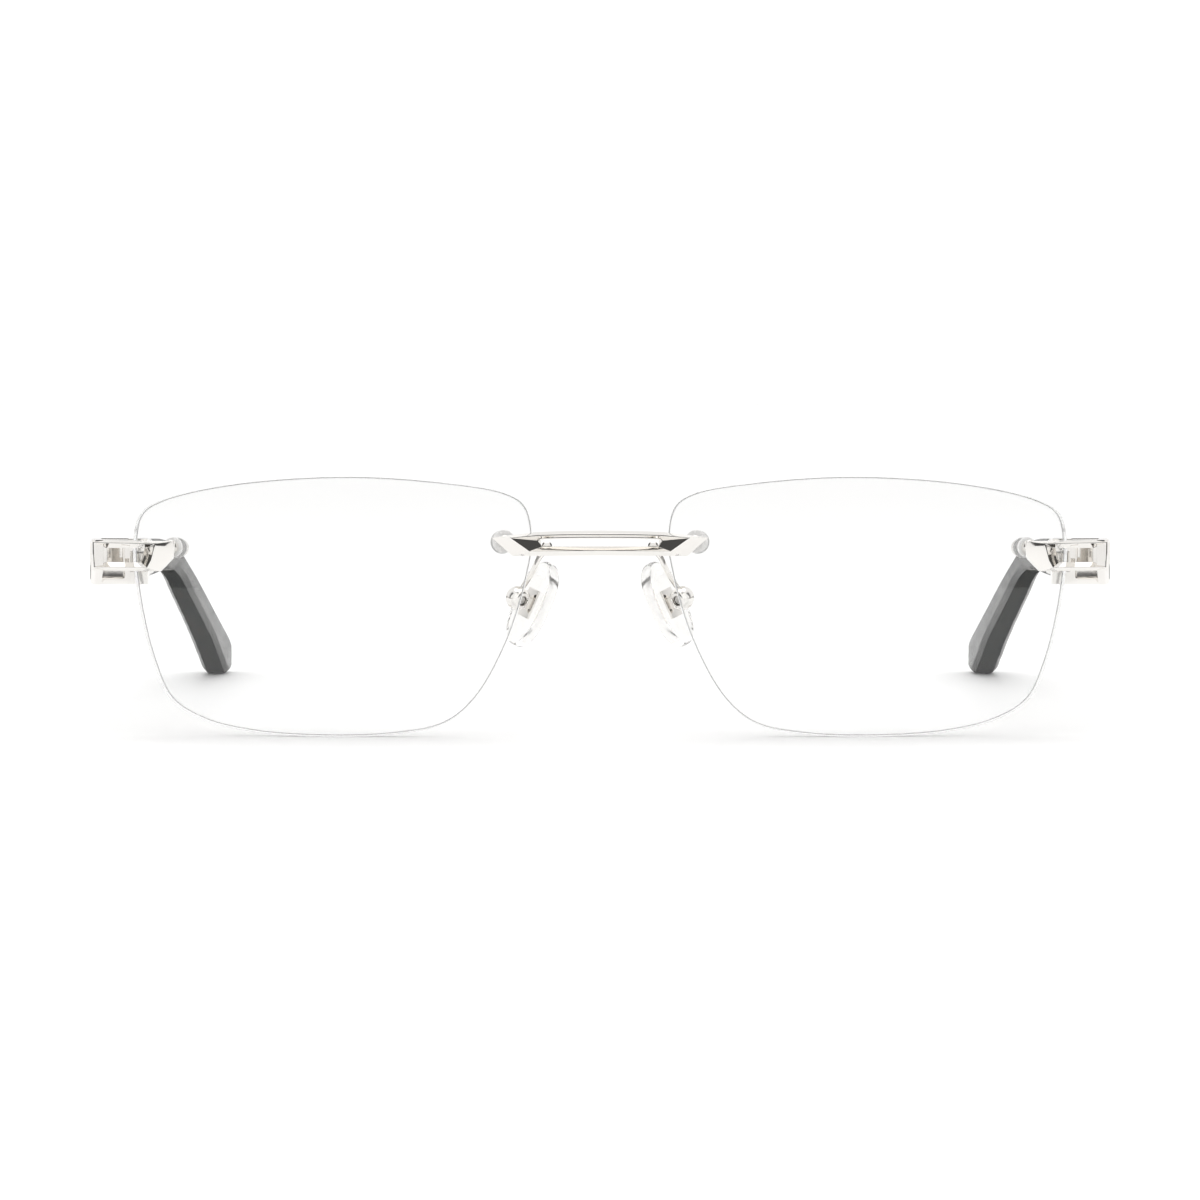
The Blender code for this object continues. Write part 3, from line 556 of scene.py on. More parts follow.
def make_nut(hole):
    """A round nut with a domed back."""
    front = LENS_THICKNESS + FLANGE_THICKNESS + 3 * GAP
    profile = [
        (NUT_BORE, front + NUT_HEIGHT), (NUT_BORE, front),
        (NUT_FLAT_RADIUS, front), (NUT_RADIUS, front + NUT_CHAMFER),
    ]  # fmt: skip
    for step in range(NUT_DOME_STEPS + 1):
        turn = math.radians(90 * step / NUT_DOME_STEPS)
        radius = NUT_CROWN_RADIUS + NUT_DOME_WIDTH * math.cos(turn)
        profile.append((radius, front + NUT_DOME_START + NUT_DOME_HEIGHT * math.sin(turn)))
    nut = turned(profile)
    nut.data.transform(mount_frame(hole))
    return nut


def make_stud(hole, boss_radius, boss_start):
    """A stud that carries the nut, on a thicker boss that joins it to the metal in front."""
    boss = rod(boss_radius, (0, 0, boss_start), (0, 0, -FLANGE_THICKNESS - 2 * GAP), BOSS_EDGE)
    end = LENS_THICKNESS + FLANGE_THICKNESS + NUT_HEIGHT + STUD_PAST_NUT
    stud = combine(boss, rod(STUD_RADIUS, (0, 0, boss_start / 2), (0, 0, end), STUD_EDGE))
    stud.data.transform(mount_frame(hole))
    return stud


# ---------------------------------------------------------------- bridge


def bridge_loop(half, y):
    """A closed loop from a half outline, with both bars curved smoothly and the tips kept sharp."""
    tip_index = 3
    points = [Vector((x * MM, 0, z * MM)) for x, z in half]
    top = smooth_path(points[:tip_index], BRIDGE_CURVE_STEPS)
    foot = smooth_path(points[tip_index + 1 :], BRIDGE_CURVE_STEPS)
    right = [*top, points[tip_index], *foot]
    left = [Vector((-p.x, 0, p.z)) for p in reversed(right[1:-1])]
    loop = []
    for p in (*right, *left):
        loop.append((p.x, y - BRIDGE_BOW * (1 - (p.x / BRIDGE_HALF_WIDTH) ** 2), p.z))
    return loop


def make_bridge():
    """The double bar with its window, then a stud and a stop tab on each side."""
    rings = (
        (BRIDGE_OUTER, BRIDGE_BACK_Y),
        (BRIDGE_OUTER, BRIDGE_SHOULDER_Y),
        (BRIDGE_RIDGE, BRIDGE_RIDGE_Y),
        (BRIDGE_CREST, BRIDGE_CREST_Y),
        (BRIDGE_LIP, BRIDGE_LIP_Y),
        (BRIDGE_WINDOW, BRIDGE_SILL_Y),
        (BRIDGE_WINDOW, BRIDGE_BACK_Y),
    )
    bar = bevel(loft([bridge_loop(*ring) for ring in rings], closed_ring=True), BRIDGE_EDGE)
    low, high = BRIDGE_TAB
    extras = []
    for flip in (Matrix.Identity(4), MIRROR_X):
        for extra in (make_stud(NOSE_HOLE, *NOSE_BOSS), block(scaled(*low), scaled(*high))):
            extra.data.transform(flip)
            if flip.is_negative:
                extra.data.flip_normals()
            extras.append(extra)
    bar = combine(bar, *extras)
    bar.data.transform(TO_FRAME)
    return bar


# ---------------------------------------------------------------- endpiece and hinge


def between(first, second, share):
    """The outline that lies a share of the way from the first to the second."""
    return [(a + (c - a) * share, b + (d - b) * share) for (a, b), (c, d) in zip(first, second)]


def cage_front():
    """The cage's front: a window between facets that rise to a narrow crest."""
    origin = Matrix.Translation((CAGE_INNER_X, CAGE_FRONT_BACK_Y, 0))
    sweep = origin @ Matrix.Rotation(CAGE_FRONT_SWEEP, 4, "Z")

    def loop(outline, forward):
        return [
            sweep @ Vector(((x * MM - CAGE_INNER_X) / math.cos(CAGE_FRONT_SWEEP), -forward, z * MM))
            for x, z in outline
        ]

    rings = (
        (CAGE_FRONT_OUTER, 0),
        (CAGE_FRONT_OUTER, CAGE_FRONT_SHOULDER),
        (CAGE_FRONT_RIDGE, CAGE_THICKNESS - CREST_RISE),
        (between(CAGE_FRONT_RIDGE, CAGE_FRONT_WINDOW, CREST_SHARE), CAGE_THICKNESS),
        (CAGE_FRONT_WINDOW, CAGE_FRONT_SILL),
        (CAGE_FRONT_WINDOW, 0),
    )
    return bevel(loft([loop(*ring) for ring in rings], closed_ring=True), CAGE_EDGE)


def cage_side():
    """The cage's side, made as its front is, which runs back from the front's outer corner."""
    width = CAGE_CORNER_X - CAGE_INNER_X
    corner_y = CAGE_FRONT_BACK_Y + width * math.tan(CAGE_FRONT_SWEEP) - CAGE_THICKNESS
    flare = Matrix.Translation((CAGE_CORNER_X, corner_y, 0)) @ Matrix.Rotation(-CAGE_SIDE_FLARE, 4, "Z")

    def loop(outline, outward):
        return [flare @ Vector((outward, y * MM, z * MM)) for y, z in outline]

    rings = (
        (CAGE_SIDE_OUTER, -CAGE_THICKNESS),
        (CAGE_SIDE_OUTER, CAGE_SIDE_SHOULDER),
        (CAGE_SIDE_RIDGE, -CREST_RISE),
        (between(CAGE_SIDE_RIDGE, CAGE_SIDE_WINDOW, CREST_SHARE), 0),
        (CAGE_SIDE_WINDOW, CAGE_SIDE_SILL),
        (CAGE_SIDE_WINDOW, -CAGE_THICKNESS),
    )
    return bevel(loft([loop(*ring) for ring in rings], closed_ring=True), CAGE_EDGE)


def hinge_rod(radius, low, high, edge=0.0):
    return rod(radius, HINGE_AXIS + Vector((0, 0, low)), HINGE_AXIS + Vector((0, 0, high)), edge)


def barrel(low, high):
    return hinge_rod(BARREL_RADIUS, low, high, BARREL_EDGE)


def hinge_bore():
    low, high = HINGE_Z
    return hinge_rod(HINGE_BORE, low - MM, high + MM)


def make_endpiece():
    """Cage, hinge plate, stud and stop tab with two knuckles, bored for the hinge screw and its head."""
    plate_front, plate_back = HINGE_PLATE_Y
    low, high = HINGE_Z
    inner, outer = HINGE_PLATE_X
    plate = block((inner, plate_front, low), (outer, plate_back, high), HINGE_PLATE_EDGE)
    recess = block(
        (RECESS_X[0], plate_front - MM, RECESS_Z[0]),
        (RECESS_X[1], plate_front + RECESS_DEPTH, RECESS_Z[1]),
        RECESS_EDGE,
    )
    pieces = [cage_front(), cage_side(), cut(plate, recess), make_stud(OUTER_HOLE, *OUTER_BOSS)]
    pieces.append(block(*(scaled(*corner) for corner in ENDPIECE_TAB)))
    temple_low, temple_high = TEMPLE_BARREL_Z
    start, end = KNUCKLE_X
    for z0, z1 in ((low, temple_low - BARREL_SLACK), (temple_high + BARREL_SLACK, high)):
        pieces.append(barrel(z0, z1))
        pieces.append(block((start, plate_front, z0), (end, plate_back, z1)))
        web_front = (start, plate_back - KNUCKLE_OVERLAP, z0)
        pieces.append(block(web_front, (KNUCKLE_WEB_END, HINGE_AXIS.y, z1), FINE_EDGE))
    cage = combine(pieces[0], *pieces[1:])
    return cut(cage, hinge_bore(), hinge_rod(SCREW_WELL_RADIUS, high - SCREW_WELL_DEPTH, high + MM))


def make_hinge_screw():
    """A slotted screw that comes in from above."""
    low, high = HINGE_Z
    shank = rod(HINGE_SHANK_RADIUS, (0, 0, low + 0.1 * MM), (0, 0, high - 0.2 * MM), 0.06 * MM)
    head = rod(HINGE_HEAD_RADIUS, (0, 0, high - 0.43 * MM), (0, 0, high - 0.03 * MM), 0.07 * MM)
    slot = block((-1.2 * MM, -0.13 * MM, high - 0.2 * MM), (1.2 * MM, 0.13 * MM, high + MM), 0)
    screw = cut(combine(head, shank), slot)
    screw.data.transform(Matrix.Translation(HINGE_AXIS))
    return screw


def make_hinge_washer(z):
    outer = BARREL_RADIUS - 0.05 * MM
    top = z + HINGE_WASHER_THICKNESS
    washer = turned(((outer, top), (outer, z), (HINGE_BORE, z), (HINGE_BORE, top)))
    washer.data.transform(Matrix.Translation(HINGE_AXIS))
    return washer


# ---------------------------------------------------------------- temple


def section_loop(y, inner, outer, low, high, chamfer):
    """A rectangle across the temple with its four corners chamfered."""
    half_x, half_z = (outer - inner) / 2, (high - low) / 2
    middle = Vector(((inner + outer) / 2, y, (low + high) / 2))
    loop = []
    for sx, sz in ((1, 1), (-1, 1), (-1, -1), (1, -1)):
        side = Vector((sx * half_x, 0, sz * (half_z - chamfer)))
        top = Vector((sx * (half_x - chamfer), 0, sz * half_z))
        loop += [middle + side, middle + top] if sx * sz > 0 else [middle + top, middle + side]
    return loop


def tang():
    """The ferrule's flat tongue inside the horn."""
    loops = []
    for end in (TANG_START, TANG_END):
        corners = ((1, 1), (-1, 1), (-1, -1), (1, -1))
        loops.append([end + Vector((sx * TANG_HALF_WIDTH, 0, sz * TANG_HALF_HEIGHT)) for sx, sz in corners])
    return loft(loops)


def ferrule_panel():
    """The cutter for the shallow panel on the ferrule's outer face."""
    (front_y, _, front_x, _, _), *_, (rear_y, _, rear_x, _, _) = FERRULE_SECTIONS
    taper = math.atan2(front_x - rear_x, rear_y - front_y)
    outer_face = Matrix.Translation((front_x * MM, front_y * MM, 0)) @ Matrix.Rotation(taper, 4, "Z")
    panel = loft([[(x, y * MM, z * MM) for y, z in PANEL_OUTLINE] for x in (-PANEL_DEPTH, OVERSHOOT)])
    panel = bevel(panel, PANEL_EDGE, 3)
    panel.data.transform(outer_face)
    return panel


def make_ferrule():
    """A tapering body with a panel, a tang behind it, and the temple's knuckle in front."""
    body = bevel(loft([section_loop(*scaled(*section), FERRULE_CHAMFER) for section in FERRULE_SECTIONS]))
    low, high = TEMPLE_BARREL_Z
    web = block((TEMPLE_WEB_X[0], TEMPLE_WEB_Y[0], low), (TEMPLE_WEB_X[1], TEMPLE_WEB_Y[1], high), FINE_EDGE)
    whole = combine(body, tang(), barrel(low, high), web)
    return cut(whole, ferrule_panel(), hinge_bore())


def horn_edges():
    """The horn's inner, outer, lower and upper edge as smooth curves of (value, y)."""
    return [
        smooth_path([(section[i] * MM, section[0] * MM, 0) for section in HORN_SECTIONS], HORN_CURVE_STEPS)
        for i in range(1, 5)
    ]


def value_at(edge, y):
    """The edge's value at that y."""
    for first, second in zip(edge, edge[1:]):
        if first.y <= y <= second.y + 1e-9:
            return first.lerp(second, (y - first.y) / (second.y - first.y)).x
    return edge[-1].x


def make_horn():
    """The horn temple. Its underside behind the bend has the second, duller material, which has no
    reflection and so paints shade there.
    """
    edges = horn_edges()
    start, end = HORN_SECTIONS[0][0] * MM, HORN_SECTIONS[-1][0] * MM
    loops = []
    for i in range(HORN_STEPS + 1):
        y = start + (end - start) * i / HORN_STEPS
        chamfer = HORN_CHAMFER + HORN_CHAMFER_GROWTH * min(1.0, i / HORN_GROWTH_STEPS)
        loops.append(section_loop(y, *(value_at(edge, y) for edge in edges), chamfer))
    horn = round_tip(bevel(loft(loops), HORN_EDGE, angle=HORN_EDGE_ANGLE), end)
    for face in horn.data.polygons:
        below = face.normal.z < FACING_DOWN and face.center.y > SHADED_UNDERSIDE_FROM_Y
        face.material_index = 1 if below else 0
    return horn


def round_tip(horn, end):
    """Rounds the end of the temple: its end faces move out in rings that shrink towards their middle."""
    bm = bmesh.new()
    bm.from_mesh(horn.data)
    near_end = end - 0.05 * MM
    last = [v for v in bm.verts if v.co.y > near_end]
    middle = sum((v.co for v in last), Vector()) / len(last)
    ends = [f for f in bm.faces if f.normal.y > 0.9 and all(v.co.y > near_end for v in f.verts)]
    cap = [tuple(v.index for v in f.verts) for f in ends]
    spots = {v.index: v.co.copy() for f in ends for v in f.verts}
    edges = [edge for face in cap for edge in zip(face, (*face[1:], face[0]))]
    border = [(a, b) for a, b in edges if (b, a) not in edges]
    bm.verts.ensure_lookup_table()
    rim = {a: bm.verts[a] for a, _ in border}
    bmesh.ops.delete(bm, geom=ends, context="FACES")
    for share, out in TIP_RINGS:
        for i, p in spots.items():
            further = Vector((0, p.y - middle.y + out * MM, 0))
            spots[i] = middle.lerp(Vector((p.x, middle.y, p.z)), share) + further
        grown = {i: bm.verts.new(spots[i]) for i in rim}
        for a, b in border:
            bm.faces.new((rim[a], rim[b], grown[b], grown[a]))
        rim = grown
    corners = {i: rim[i] if i in rim else bm.verts.new(p) for i, p in spots.items()}
    for face in cap:
        bm.faces.new([corners[i] for i in face])
    bm.to_mesh(horn.data)
    bm.free()
    return horn


def make_rivet(y):
    """A rivet through horn and tang, which stands out a little on both sides."""
    inner_edge, outer_edge, *_ = horn_edges()
    inner, outer = value_at(inner_edge, y) - RIVET_PROUD, value_at(outer_edge, y) + RIVET_PROUD
    z = TANG_START.lerp(TANG_END, (y - TANG_START.y) / (TANG_END.y - TANG_START.y)).z
    return rod(RIVET_RADIUS, (inner, y, z), (outer, y, z), RIVET_EDGE)


# ---------------------------------------------------------------- nose pads


def pad_frame():
    """The frame of the pad box: its Y is the pad screw's axis, its -X points to the nose."""
    turn = Matrix.Rotation(-PAD_LEAN, 4, "Y") @ Matrix.Rotation(-PAD_SPLAY, 4, "Z")
    towards_nose = (turn @ Vector((-1, 0, 0))).normalized()
    return Matrix.Translation(PAD_CENTRE - towards_nose * BOX_OFFSET) @ turn


def make_pad():
    """A superellipse pad with a rounded rim, smooth towards the nose and with a well on its back."""
    outline = []
    for i in range(PAD_POINTS):
        turn = math.tau * i / PAD_POINTS
        y, z = math.cos(turn), math.sin(turn)
        reach = (abs(y) ** PAD_POWER + abs(z) ** PAD_POWER) ** (-1 / PAD_POWER)
        outline.append((y * reach, z * reach))
    loops = []
    for share, x in PAD_PROFILE:
        width, length = PAD_HALF_WIDTH, PAD_HALF_LENGTH
        loops.append([(x * MM - BOX_OFFSET, y * share * width, z * share * length) for y, z in outline])
    pad = loft(loops)
    pad.data.transform(pad_frame())
    return pad


def make_pad_insert():
    """A plate sunk in the pad's well, with a neck and an eye that the pad screw passes through."""
    well = -BOX_OFFSET + INSERT_DEPTH
    plate = block((well, -1.3 * MM, -2.1 * MM), (well + 0.4 * MM, 1.3 * MM, 2.1 * MM), 0.12 * MM)
    half = LUG_THICKNESS / 2
    neck = block((well + 0.3 * MM, -half, -0.8 * MM), (0, half, 0.8 * MM), 0.05 * MM)
    eye = rod(LUG_EYE_RADIUS, (0, -half, 0), (0, half, 0), 0.08 * MM)
    bore = rod(PAD_BORE, (0, -OVERSHOOT, 0), (0, OVERSHOOT, 0))
    insert = cut(combine(plate, neck, eye), bore)
    insert.data.transform(pad_frame())
    return insert


def make_pad_box():
    """A rounded cup, slotted for the insert, with the screw's head sunk in one end."""
    width, far = BOX_HALF_WIDTH, CUTTER_REACH
    across, up = Vector((1, 0, 0)), Vector((0, 0, 1))
    rings = []
    for step in range(-BOX_STEPS, BOX_STEPS + 1):
        turn = BOX_TURN * step / BOX_STEPS
        radius = BOX_RADIUS - BOX_CROWN * (1 - math.cos(turn))
        centre = Vector((0, width * math.sin(turn) / math.sin(BOX_TURN), 0))
        rings.append(circle(radius, centre, across, up, BOX_SIDES))
    body = loft(rings)
    half = LUG_THICKNESS / 2 + BOX_SLOT_SLACK
    slot = block((-far, -half, -far), (BOX_SLOT_END, half, far), 0)
    flat = block((-far, -far, -far), (BOX_FLAT_X, far, far), 0)
    bore = rod(PAD_BORE, (0, -far, 0), (0, far, 0))
    well = rod(BOX_WELL_RADIUS, (0, -far, 0), (0, -width + SCREW_HEAD_DEPTH, 0))
    box = bevel(cut(body, slot, flat, bore, well), BOX_EDGE)
    box.data.transform(pad_frame())
    return box


def make_pad_screw():
    """A slotted screw whose head lies in the box's well."""
    width = BOX_HALF_WIDTH
    face = -width + SCREW_FACE_DEPTH
    shank = rod(PAD_SHANK_RADIUS, (0, face, 0), (0, width + 0.1 * MM, 0), 0.05 * MM)
    head = rod(PAD_HEAD_RADIUS, (0, face, 0), (0, -width + SCREW_HEAD_DEPTH - 0.03 * MM, 0), 0.06 * MM)
    slot = block((-0.8 * MM, face - MM, -0.11 * MM), (0.8 * MM, face + 0.14 * MM, 0.11 * MM), 0)
    screw = cut(combine(head, shank), slot)
    screw.data.transform(pad_frame())
    return screw


def make_pad_arm():
    """A wire with a round foot, which is brazed to the back of the bridge's lower bar."""
    x, y, _ = (Vector(ARM_ROUTE[0]) * MM).to_tuple()
    foot_start, foot_end = (x, y - 0.3 * MM, ARM_FOOT_Z), (x, y + 0.5 * MM, ARM_FOOT_Z)
    foot = rod(ARM_FOOT_RADIUS, foot_start, foot_end, ARM_FOOT_EDGE)
    return combine(wire([Vector(p) * MM for p in ARM_ROUTE], ARM_RADIUS), foot)


# ---------------------------------------------------------------- materials


def principled(name, **values):
    material = bpy.data.materials.new(name)
    material.use_nodes = True
    shader = material.node_tree.nodes["Principled BSDF"]
    for key, value in values.items():
        shader.inputs[key.replace("_", " ")].default_value = value
    return material, shader


def noise(material, scale, detail=3.0, stretch=(1, 1, 1)):
    """A noise factor in the object's own coordinates."""
    nodes, links = material.node_tree.nodes, material.node_tree.links
    coords = nodes.new("ShaderNodeTexCoord")
    mapping = nodes.new("ShaderNodeMapping")
    mapping.inputs["Scale"].default_value = stretch
    texture = nodes.new("ShaderNodeTexNoise")
    texture.inputs["Scale"].default_value = scale
    texture.inputs["Detail"].default_value = detail
    links.new(coords.outputs["Object"], mapping.inputs["Vector"])
    links.new(mapping.outputs["Vector"], texture.inputs["Vector"])
    return texture.outputs["Fac"]


def ranged(material, factor, socket, low, high):
    """Drives a number from a noise factor."""
    nodes, links = material.node_tree.nodes, material.node_tree.links
    remap = nodes.new("ShaderNodeMapRange")
    remap.inputs["From Min"].default_value = NOISE_LOW
    remap.inputs["From Max"].default_value = NOISE_HIGH
    remap.inputs["To Min"].default_value = low
    remap.inputs["To Max"].default_value = high
    links.new(factor, remap.inputs["Value"])
    links.new(remap.outputs["Result"], socket)


def coloured(material, factor, socket, *stops):
    """Drives a colour from a noise factor through a ramp of (position, colour)."""
    nodes, links = material.node_tree.nodes, material.node_tree.links
    ramp = nodes.new("ShaderNodeValToRGB")
    ramp.color_ramp.elements.remove(ramp.color_ramp.elements[1])
    ramp.color_ramp.elements[0].position = stops[0][0]
    ramp.color_ramp.elements[0].color = (*stops[0][1], 1)
    for position, colour in stops[1:]:
        ramp.color_ramp.elements.new(position).color = (*colour, 1)
    links.new(factor, ramp.inputs["Fac"])
    links.new(ramp.outputs["Color"], socket)


def bumped(material, shader, factor, strength, distance):
    """Adds fine relief from a noise factor."""
    nodes, links = material.node_tree.nodes, material.node_tree.links
    bump = nodes.new("ShaderNodeBump")
    bump.inputs["Strength"].default_value = strength
    bump.inputs["Distance"].default_value = distance
    links.new(factor, bump.inputs["Height"])
    links.new(bump.outputs["Normal"], shader.inputs["Normal"])


def polished_silver(name, roughness, tone):
    """Bright plated metal with faint cloudiness, fine wipe marks and a slight warm tone."""
    material, shader = principled(name, Metallic=1.0)
    cloud = noise(material, 260)
    # tone scales the whole colour; the screws' low tone is partly the darker colour of their metal and
    # partly painted shade for their sunken heads
    bright = tuple(c * tone for c in (0.89, 0.87, 0.84))
    dull = tuple(c * tone for c in (0.865, 0.845, 0.815))
    coloured(material, cloud, shader.inputs["Base Color"], (NOISE_LOW, bright), (0.75, dull))
    wipe_marks = noise(material, 1500, 5, (1, 0.15, 1))
    ranged(material, wipe_marks, shader.inputs["Roughness"], roughness, roughness * 1.5)
    bumped(material, shader, noise(material, 9000, 2), 0.05, 0.002 * MM)
    return material


def black_horn(name, gloss, roughness, tone):
    """Near-black horn with faint brown streaks along the temple."""
    material, shader = principled(name, Specular_IOR_Level=gloss, IOR=1.45)
    streaks = noise(material, 500, 6, (1, 0.06, 1))
    black, charcoal, brown = (0.008, 0.0098, 0.0095), (0.013, 0.0135, 0.0125), (0.026, 0.021, 0.017)
    stops = [
        (position, tuple(c * tone for c in colour))
        for position, colour in ((0.35, black), (0.6, charcoal), (0.8, brown))
    ]
    coloured(material, streaks, shader.inputs["Base Color"], *stops)
    polish = noise(material, 900, 4, (1, 0.2, 1))
    ranged(material, polish, shader.inputs["Roughness"], roughness, roughness * 1.3)
    bumped(material, shader, noise(material, 1500, 3, (1, 0.1, 1)), 0.03, 0.003 * MM)
    return material


def clear_lens():
    """Clear coated plastic: hardly any reflection, and marks too faint to see from afar."""
    material, shader = principled("clear_lens", Transmission_Weight=1.0, IOR=1.5, Specular_IOR_Level=0.12)
    clean, faint_tint = (1, 1, 1), (0.992, 0.997, 0.997)
    colour = shader.inputs["Base Color"]
    coloured(material, noise(material, 40), colour, (NOISE_LOW, clean), (NOISE_HIGH, faint_tint))
    ranged(material, noise(material, 700, 4), shader.inputs["Roughness"], 0.0, 0.006)
    return material


def lens_edge(name, clearness, roughness):
    """The lens's rim: ground bevels, and between them a wall buffed until it is half clear."""
    material, shader = principled(name, Transmission_Weight=clearness, IOR=1.5)
    grain = noise(material, 5000)
    light, dark = (0.97, 0.972, 0.97), (0.93, 0.935, 0.93)
    coloured(material, grain, shader.inputs["Base Color"], (NOISE_LOW, light), (NOISE_HIGH, dark))
    ranged(material, grain, shader.inputs["Roughness"], roughness, roughness * 1.6)
    bumped(material, shader, grain, 0.15, 0.01 * MM)
    return material


def clear_nylon():
    """Milky, slightly warm plastic."""
    material, shader = principled("clear_nylon", Transmission_Weight=0.2, IOR=1.4)
    cloud = noise(material, 1800)
    light, dark = (0.97, 0.965, 0.955), (0.92, 0.915, 0.905)
    coloured(material, cloud, shader.inputs["Base Color"], (NOISE_LOW, light), (NOISE_HIGH, dark))
    ranged(material, cloud, shader.inputs["Roughness"], 0.18, 0.32)
    return material


def clear_silicone():
    """Nearly clear soft plastic with a slight haze."""
    material, shader = principled("clear_silicone", Transmission_Weight=0.93, IOR=1.33)
    cloud = noise(material, 450)
    light, dark = (0.985, 0.98, 0.97), (0.95, 0.945, 0.93)
    coloured(material, cloud, shader.inputs["Base Color"], (NOISE_LOW, light), (NOISE_HIGH, dark))
    ranged(material, noise(material, 2200, 4), shader.inputs["Roughness"], 0.05, 0.11)
    bumped(material, shader, noise(material, 1200, 2), 0.03, 0.002 * MM)
    return material


# ---------------------------------------------------------------- the studio


def make_floor():
    bm = bmesh.new()
    bmesh.ops.create_grid(bm, x_segments=1, y_segments=1, size=FLOOR_HALF_WIDTH)
    floor = mesh_object("floor", bm)
    material, shader = principled("pale_floor", Roughness=0.6)
    colour = shader.inputs["Base Color"]
    light, dark = (0.93, 0.93, 0.93), (0.92, 0.92, 0.92)
    coloured(material, noise(material, 30), colour, (NOISE_LOW, light), (NOISE_HIGH, dark))
    floor.data.materials.append(material)


def make_world():
    """A white room. In reflections only, its front half is unlit below the ceiling."""
    world = bpy.data.worlds.new("studio")
    bpy.context.scene.world = world
    world.use_nodes = True
    nodes, links = world.node_tree.nodes, world.node_tree.links
    background = nodes["Background"]
    path = nodes.new("ShaderNodeLightPath")
    coords = nodes.new("ShaderNodeTexCoord")
    split = nodes.new("ShaderNodeSeparateXYZ")
    links.new(coords.outputs["Generated"], split.inputs["Vector"])

    def math_node(operation, *values):
        node = nodes.new("ShaderNodeMath")
        node.operation = operation
        for socket, value in zip(node.inputs, values):
            if isinstance(value, (int, float)):
                socket.default_value = value
            else:
                links.new(value, socket)
        return node.outputs["Value"]

    def fade(value, zero, one):
        """0 at one value and 1 at the other, with a soft step between."""
        remap = nodes.new("ShaderNodeMapRange")
        remap.interpolation_type = "SMOOTHSTEP"
        remap.inputs["From Min"].default_value = zero
        remap.inputs["From Max"].default_value = one
        links.new(value, remap.inputs["Value"])
        return remap.outputs["Result"]

    y, z = split.outputs["Y"], split.outputs["Z"]
    unlit = math_node("MULTIPLY", fade(z, *UNLIT_BELOW), fade(y, *UNLIT_AHEAD))
    not_through = math_node("SUBTRACT", 1.0, path.outputs["Is Transmission Ray"])
    reflected = math_node("MULTIPLY", path.outputs["Is Glossy Ray"], not_through)
    shade = math_node("MULTIPLY", unlit, reflected)
    background.inputs["Color"].default_value = ROOM_COLOUR
    dimmed = math_node("MULTIPLY", reflected, ROOM_LIGHT - REFLECTED_LIGHT)
    unlit_part = math_node("MULTIPLY", shade, REFLECTED_LIGHT - UNLIT_WALL)
    level = math_node("SUBTRACT", math_node("SUBTRACT", ROOM_LIGHT, dimmed), unlit_part)
    links.new(level, background.inputs["Strength"])


def make_light():
    """A large soft disk above the glasses."""
    light = bpy.data.lights.new("overhead", "AREA")
    light.shape = "DISK"
    light.size = LIGHT_SIZE
    light.energy = LIGHT_ENERGY
    obj = bpy.data.objects.new("overhead", light)
    bpy.context.scene.collection.objects.link(obj)
    obj.location = LIGHT_PLACE
    obj.rotation_euler = (-LIGHT_PLACE).to_track_quat("-Z", "Y").to_euler()


def make_camera():
    """A long lens a little above the glasses, tilted slightly down and set back 0.7 m."""
    camera = bpy.data.cameras.new("camera")
    camera.sensor_width = CAMERA_SENSOR
    camera.lens = CAMERA_LENS
    camera.clip_start = 0.05
    obj = bpy.data.objects.new("camera", camera)
    bpy.context.scene.collection.objects.link(obj)
    obj.location = TO_FRAME @ CAMERA_PLACE
    obj.rotation_euler = (math.radians(90 - CAMERA_TILT_DEGREES), 0, 0)
    bpy.context.scene.camera = obj


# ---------------------------------------------------------------- assembly


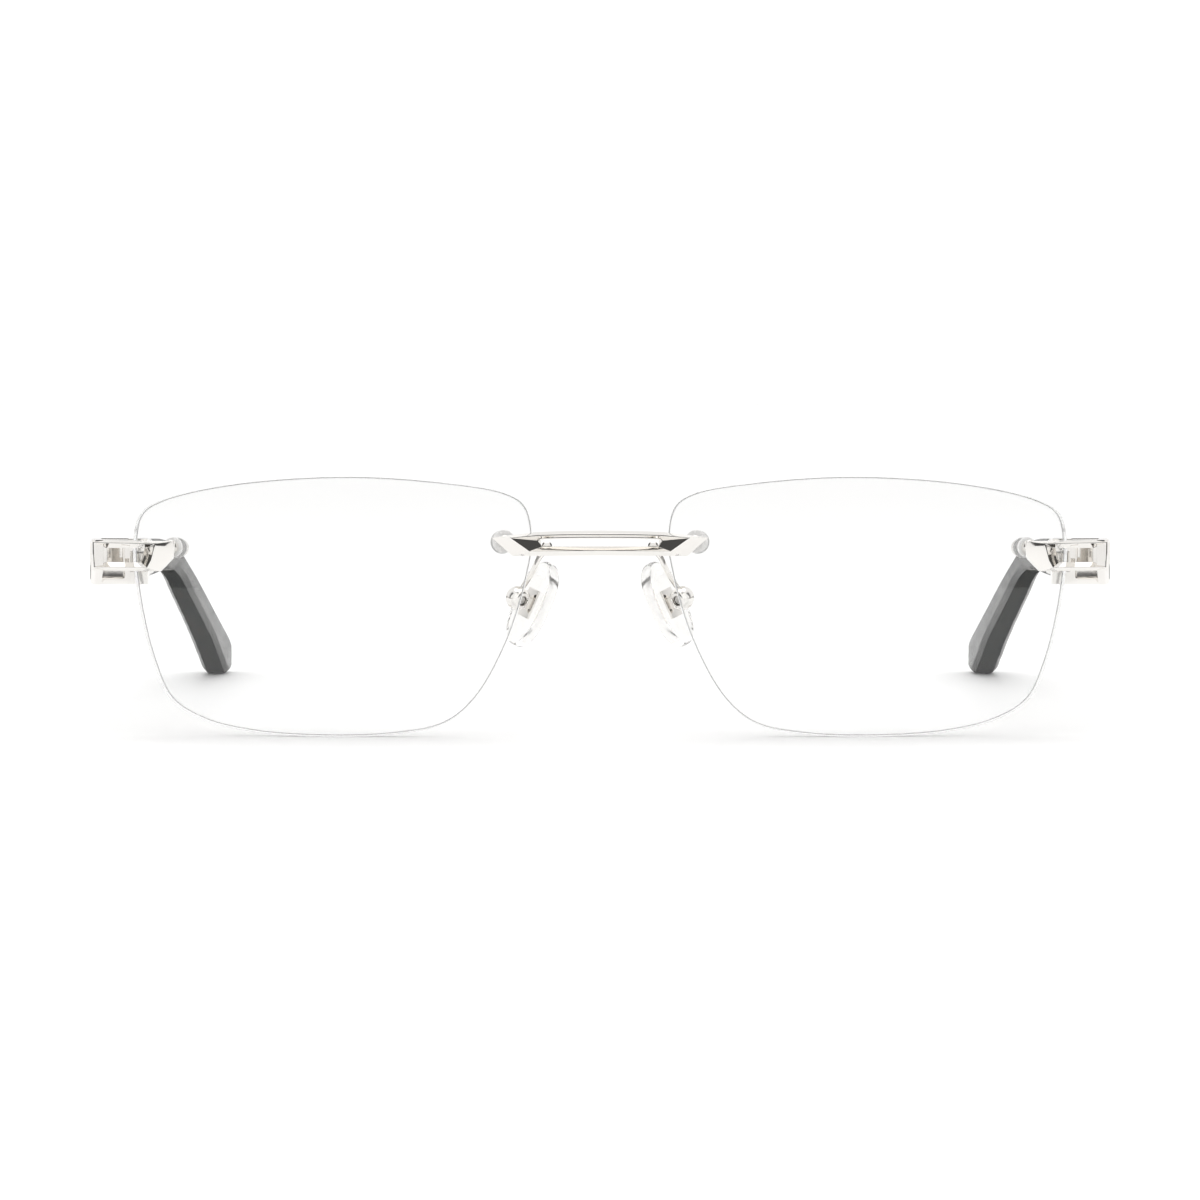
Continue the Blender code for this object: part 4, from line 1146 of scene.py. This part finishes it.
def main():
    silver = polished_silver("polished_silver", 0.05, 1.0)
    satin = polished_silver("satin_silver", 0.16, 0.9)
    # The screws' material is darker partly as their own metal and partly as painted shade for their heads
    # sunk in wells
    steel_and_shade = polished_silver("screw_steel_painted_shade", 0.24, 0.62)
    horn = black_horn("polished_black_horn", 0.06, 0.2, 1.0)
    # A copy of the horn without reflection for the underside, which paints shade there
    shaded_horn_underside = black_horn("shaded_underside_horn", 0.0, 0.5, 1.3)
    nylon = clear_nylon()
    lens = clear_lens()
    bevels = lens_edge("ground_lens_bevel", 0.1, 0.12)
    wall = lens_edge("buffed_lens_wall", 0.62, 0.06)
    silicone = clear_silicone()

    bridge = make_bridge()
    dress(bridge, "fine_bridge", "bridge", "front", [silver])
    place("lens", make_lens(), "front", "clear_lens", lens, bevels, wall)
    mounts = (("nose", NOSE_HOLE, NOSE_FLANGE_RADIUS), ("outer", OUTER_HOLE, OUTER_FLANGE_RADIUS))
    for mount, hole, flange in mounts:
        place(f"{mount}_bushing", make_bushing(flange, hole), "front", "clear_nylon", nylon)
        place(f"{mount}_washer", make_washer(flange, hole), "front", "clear_nylon", nylon)
        place(f"{mount}_nut", make_nut(hole), "front", "polished_silver", satin)

    place("endpiece", make_endpiece(), "front", "polished_silver", silver)
    place("hinge_screw", make_hinge_screw(), "front", "polished_silver", steel_and_shade)
    low, high = TEMPLE_BARREL_Z
    place("lower_hinge_washer", make_hinge_washer(low - LOWER_WASHER_DROP), "front", "clear_nylon", nylon)
    place("upper_hinge_washer", make_hinge_washer(high + UPPER_WASHER_RISE), "front", "clear_nylon", nylon)

    place("temple_ferrule", make_ferrule(), "temple_*", "polished_silver", satin)
    place("temple_horn", make_horn(), "temple_*", "black_horn", horn, shaded_horn_underside)
    for label, y in zip(("front", "rear"), RIVET_YS):
        place(f"{label}_rivet", make_rivet(y), "temple_*", "polished_silver", satin)

    place("pad_arm", make_pad_arm(), "front", "polished_silver", silver)
    place("pad_box", make_pad_box(), "front", "polished_silver", silver)
    place("pad_screw", make_pad_screw(), "front", "polished_silver", steel_and_shade)
    place("pad_insert", make_pad_insert(), "pad_*", "polished_silver", silver)
    place("nose_pad", make_pad(), "pad_*", "clear_silicone", silicone)

    make_floor()
    make_world()
    make_light()
    make_camera()
    bpy.context.scene.view_settings.view_transform = "Standard"


main()
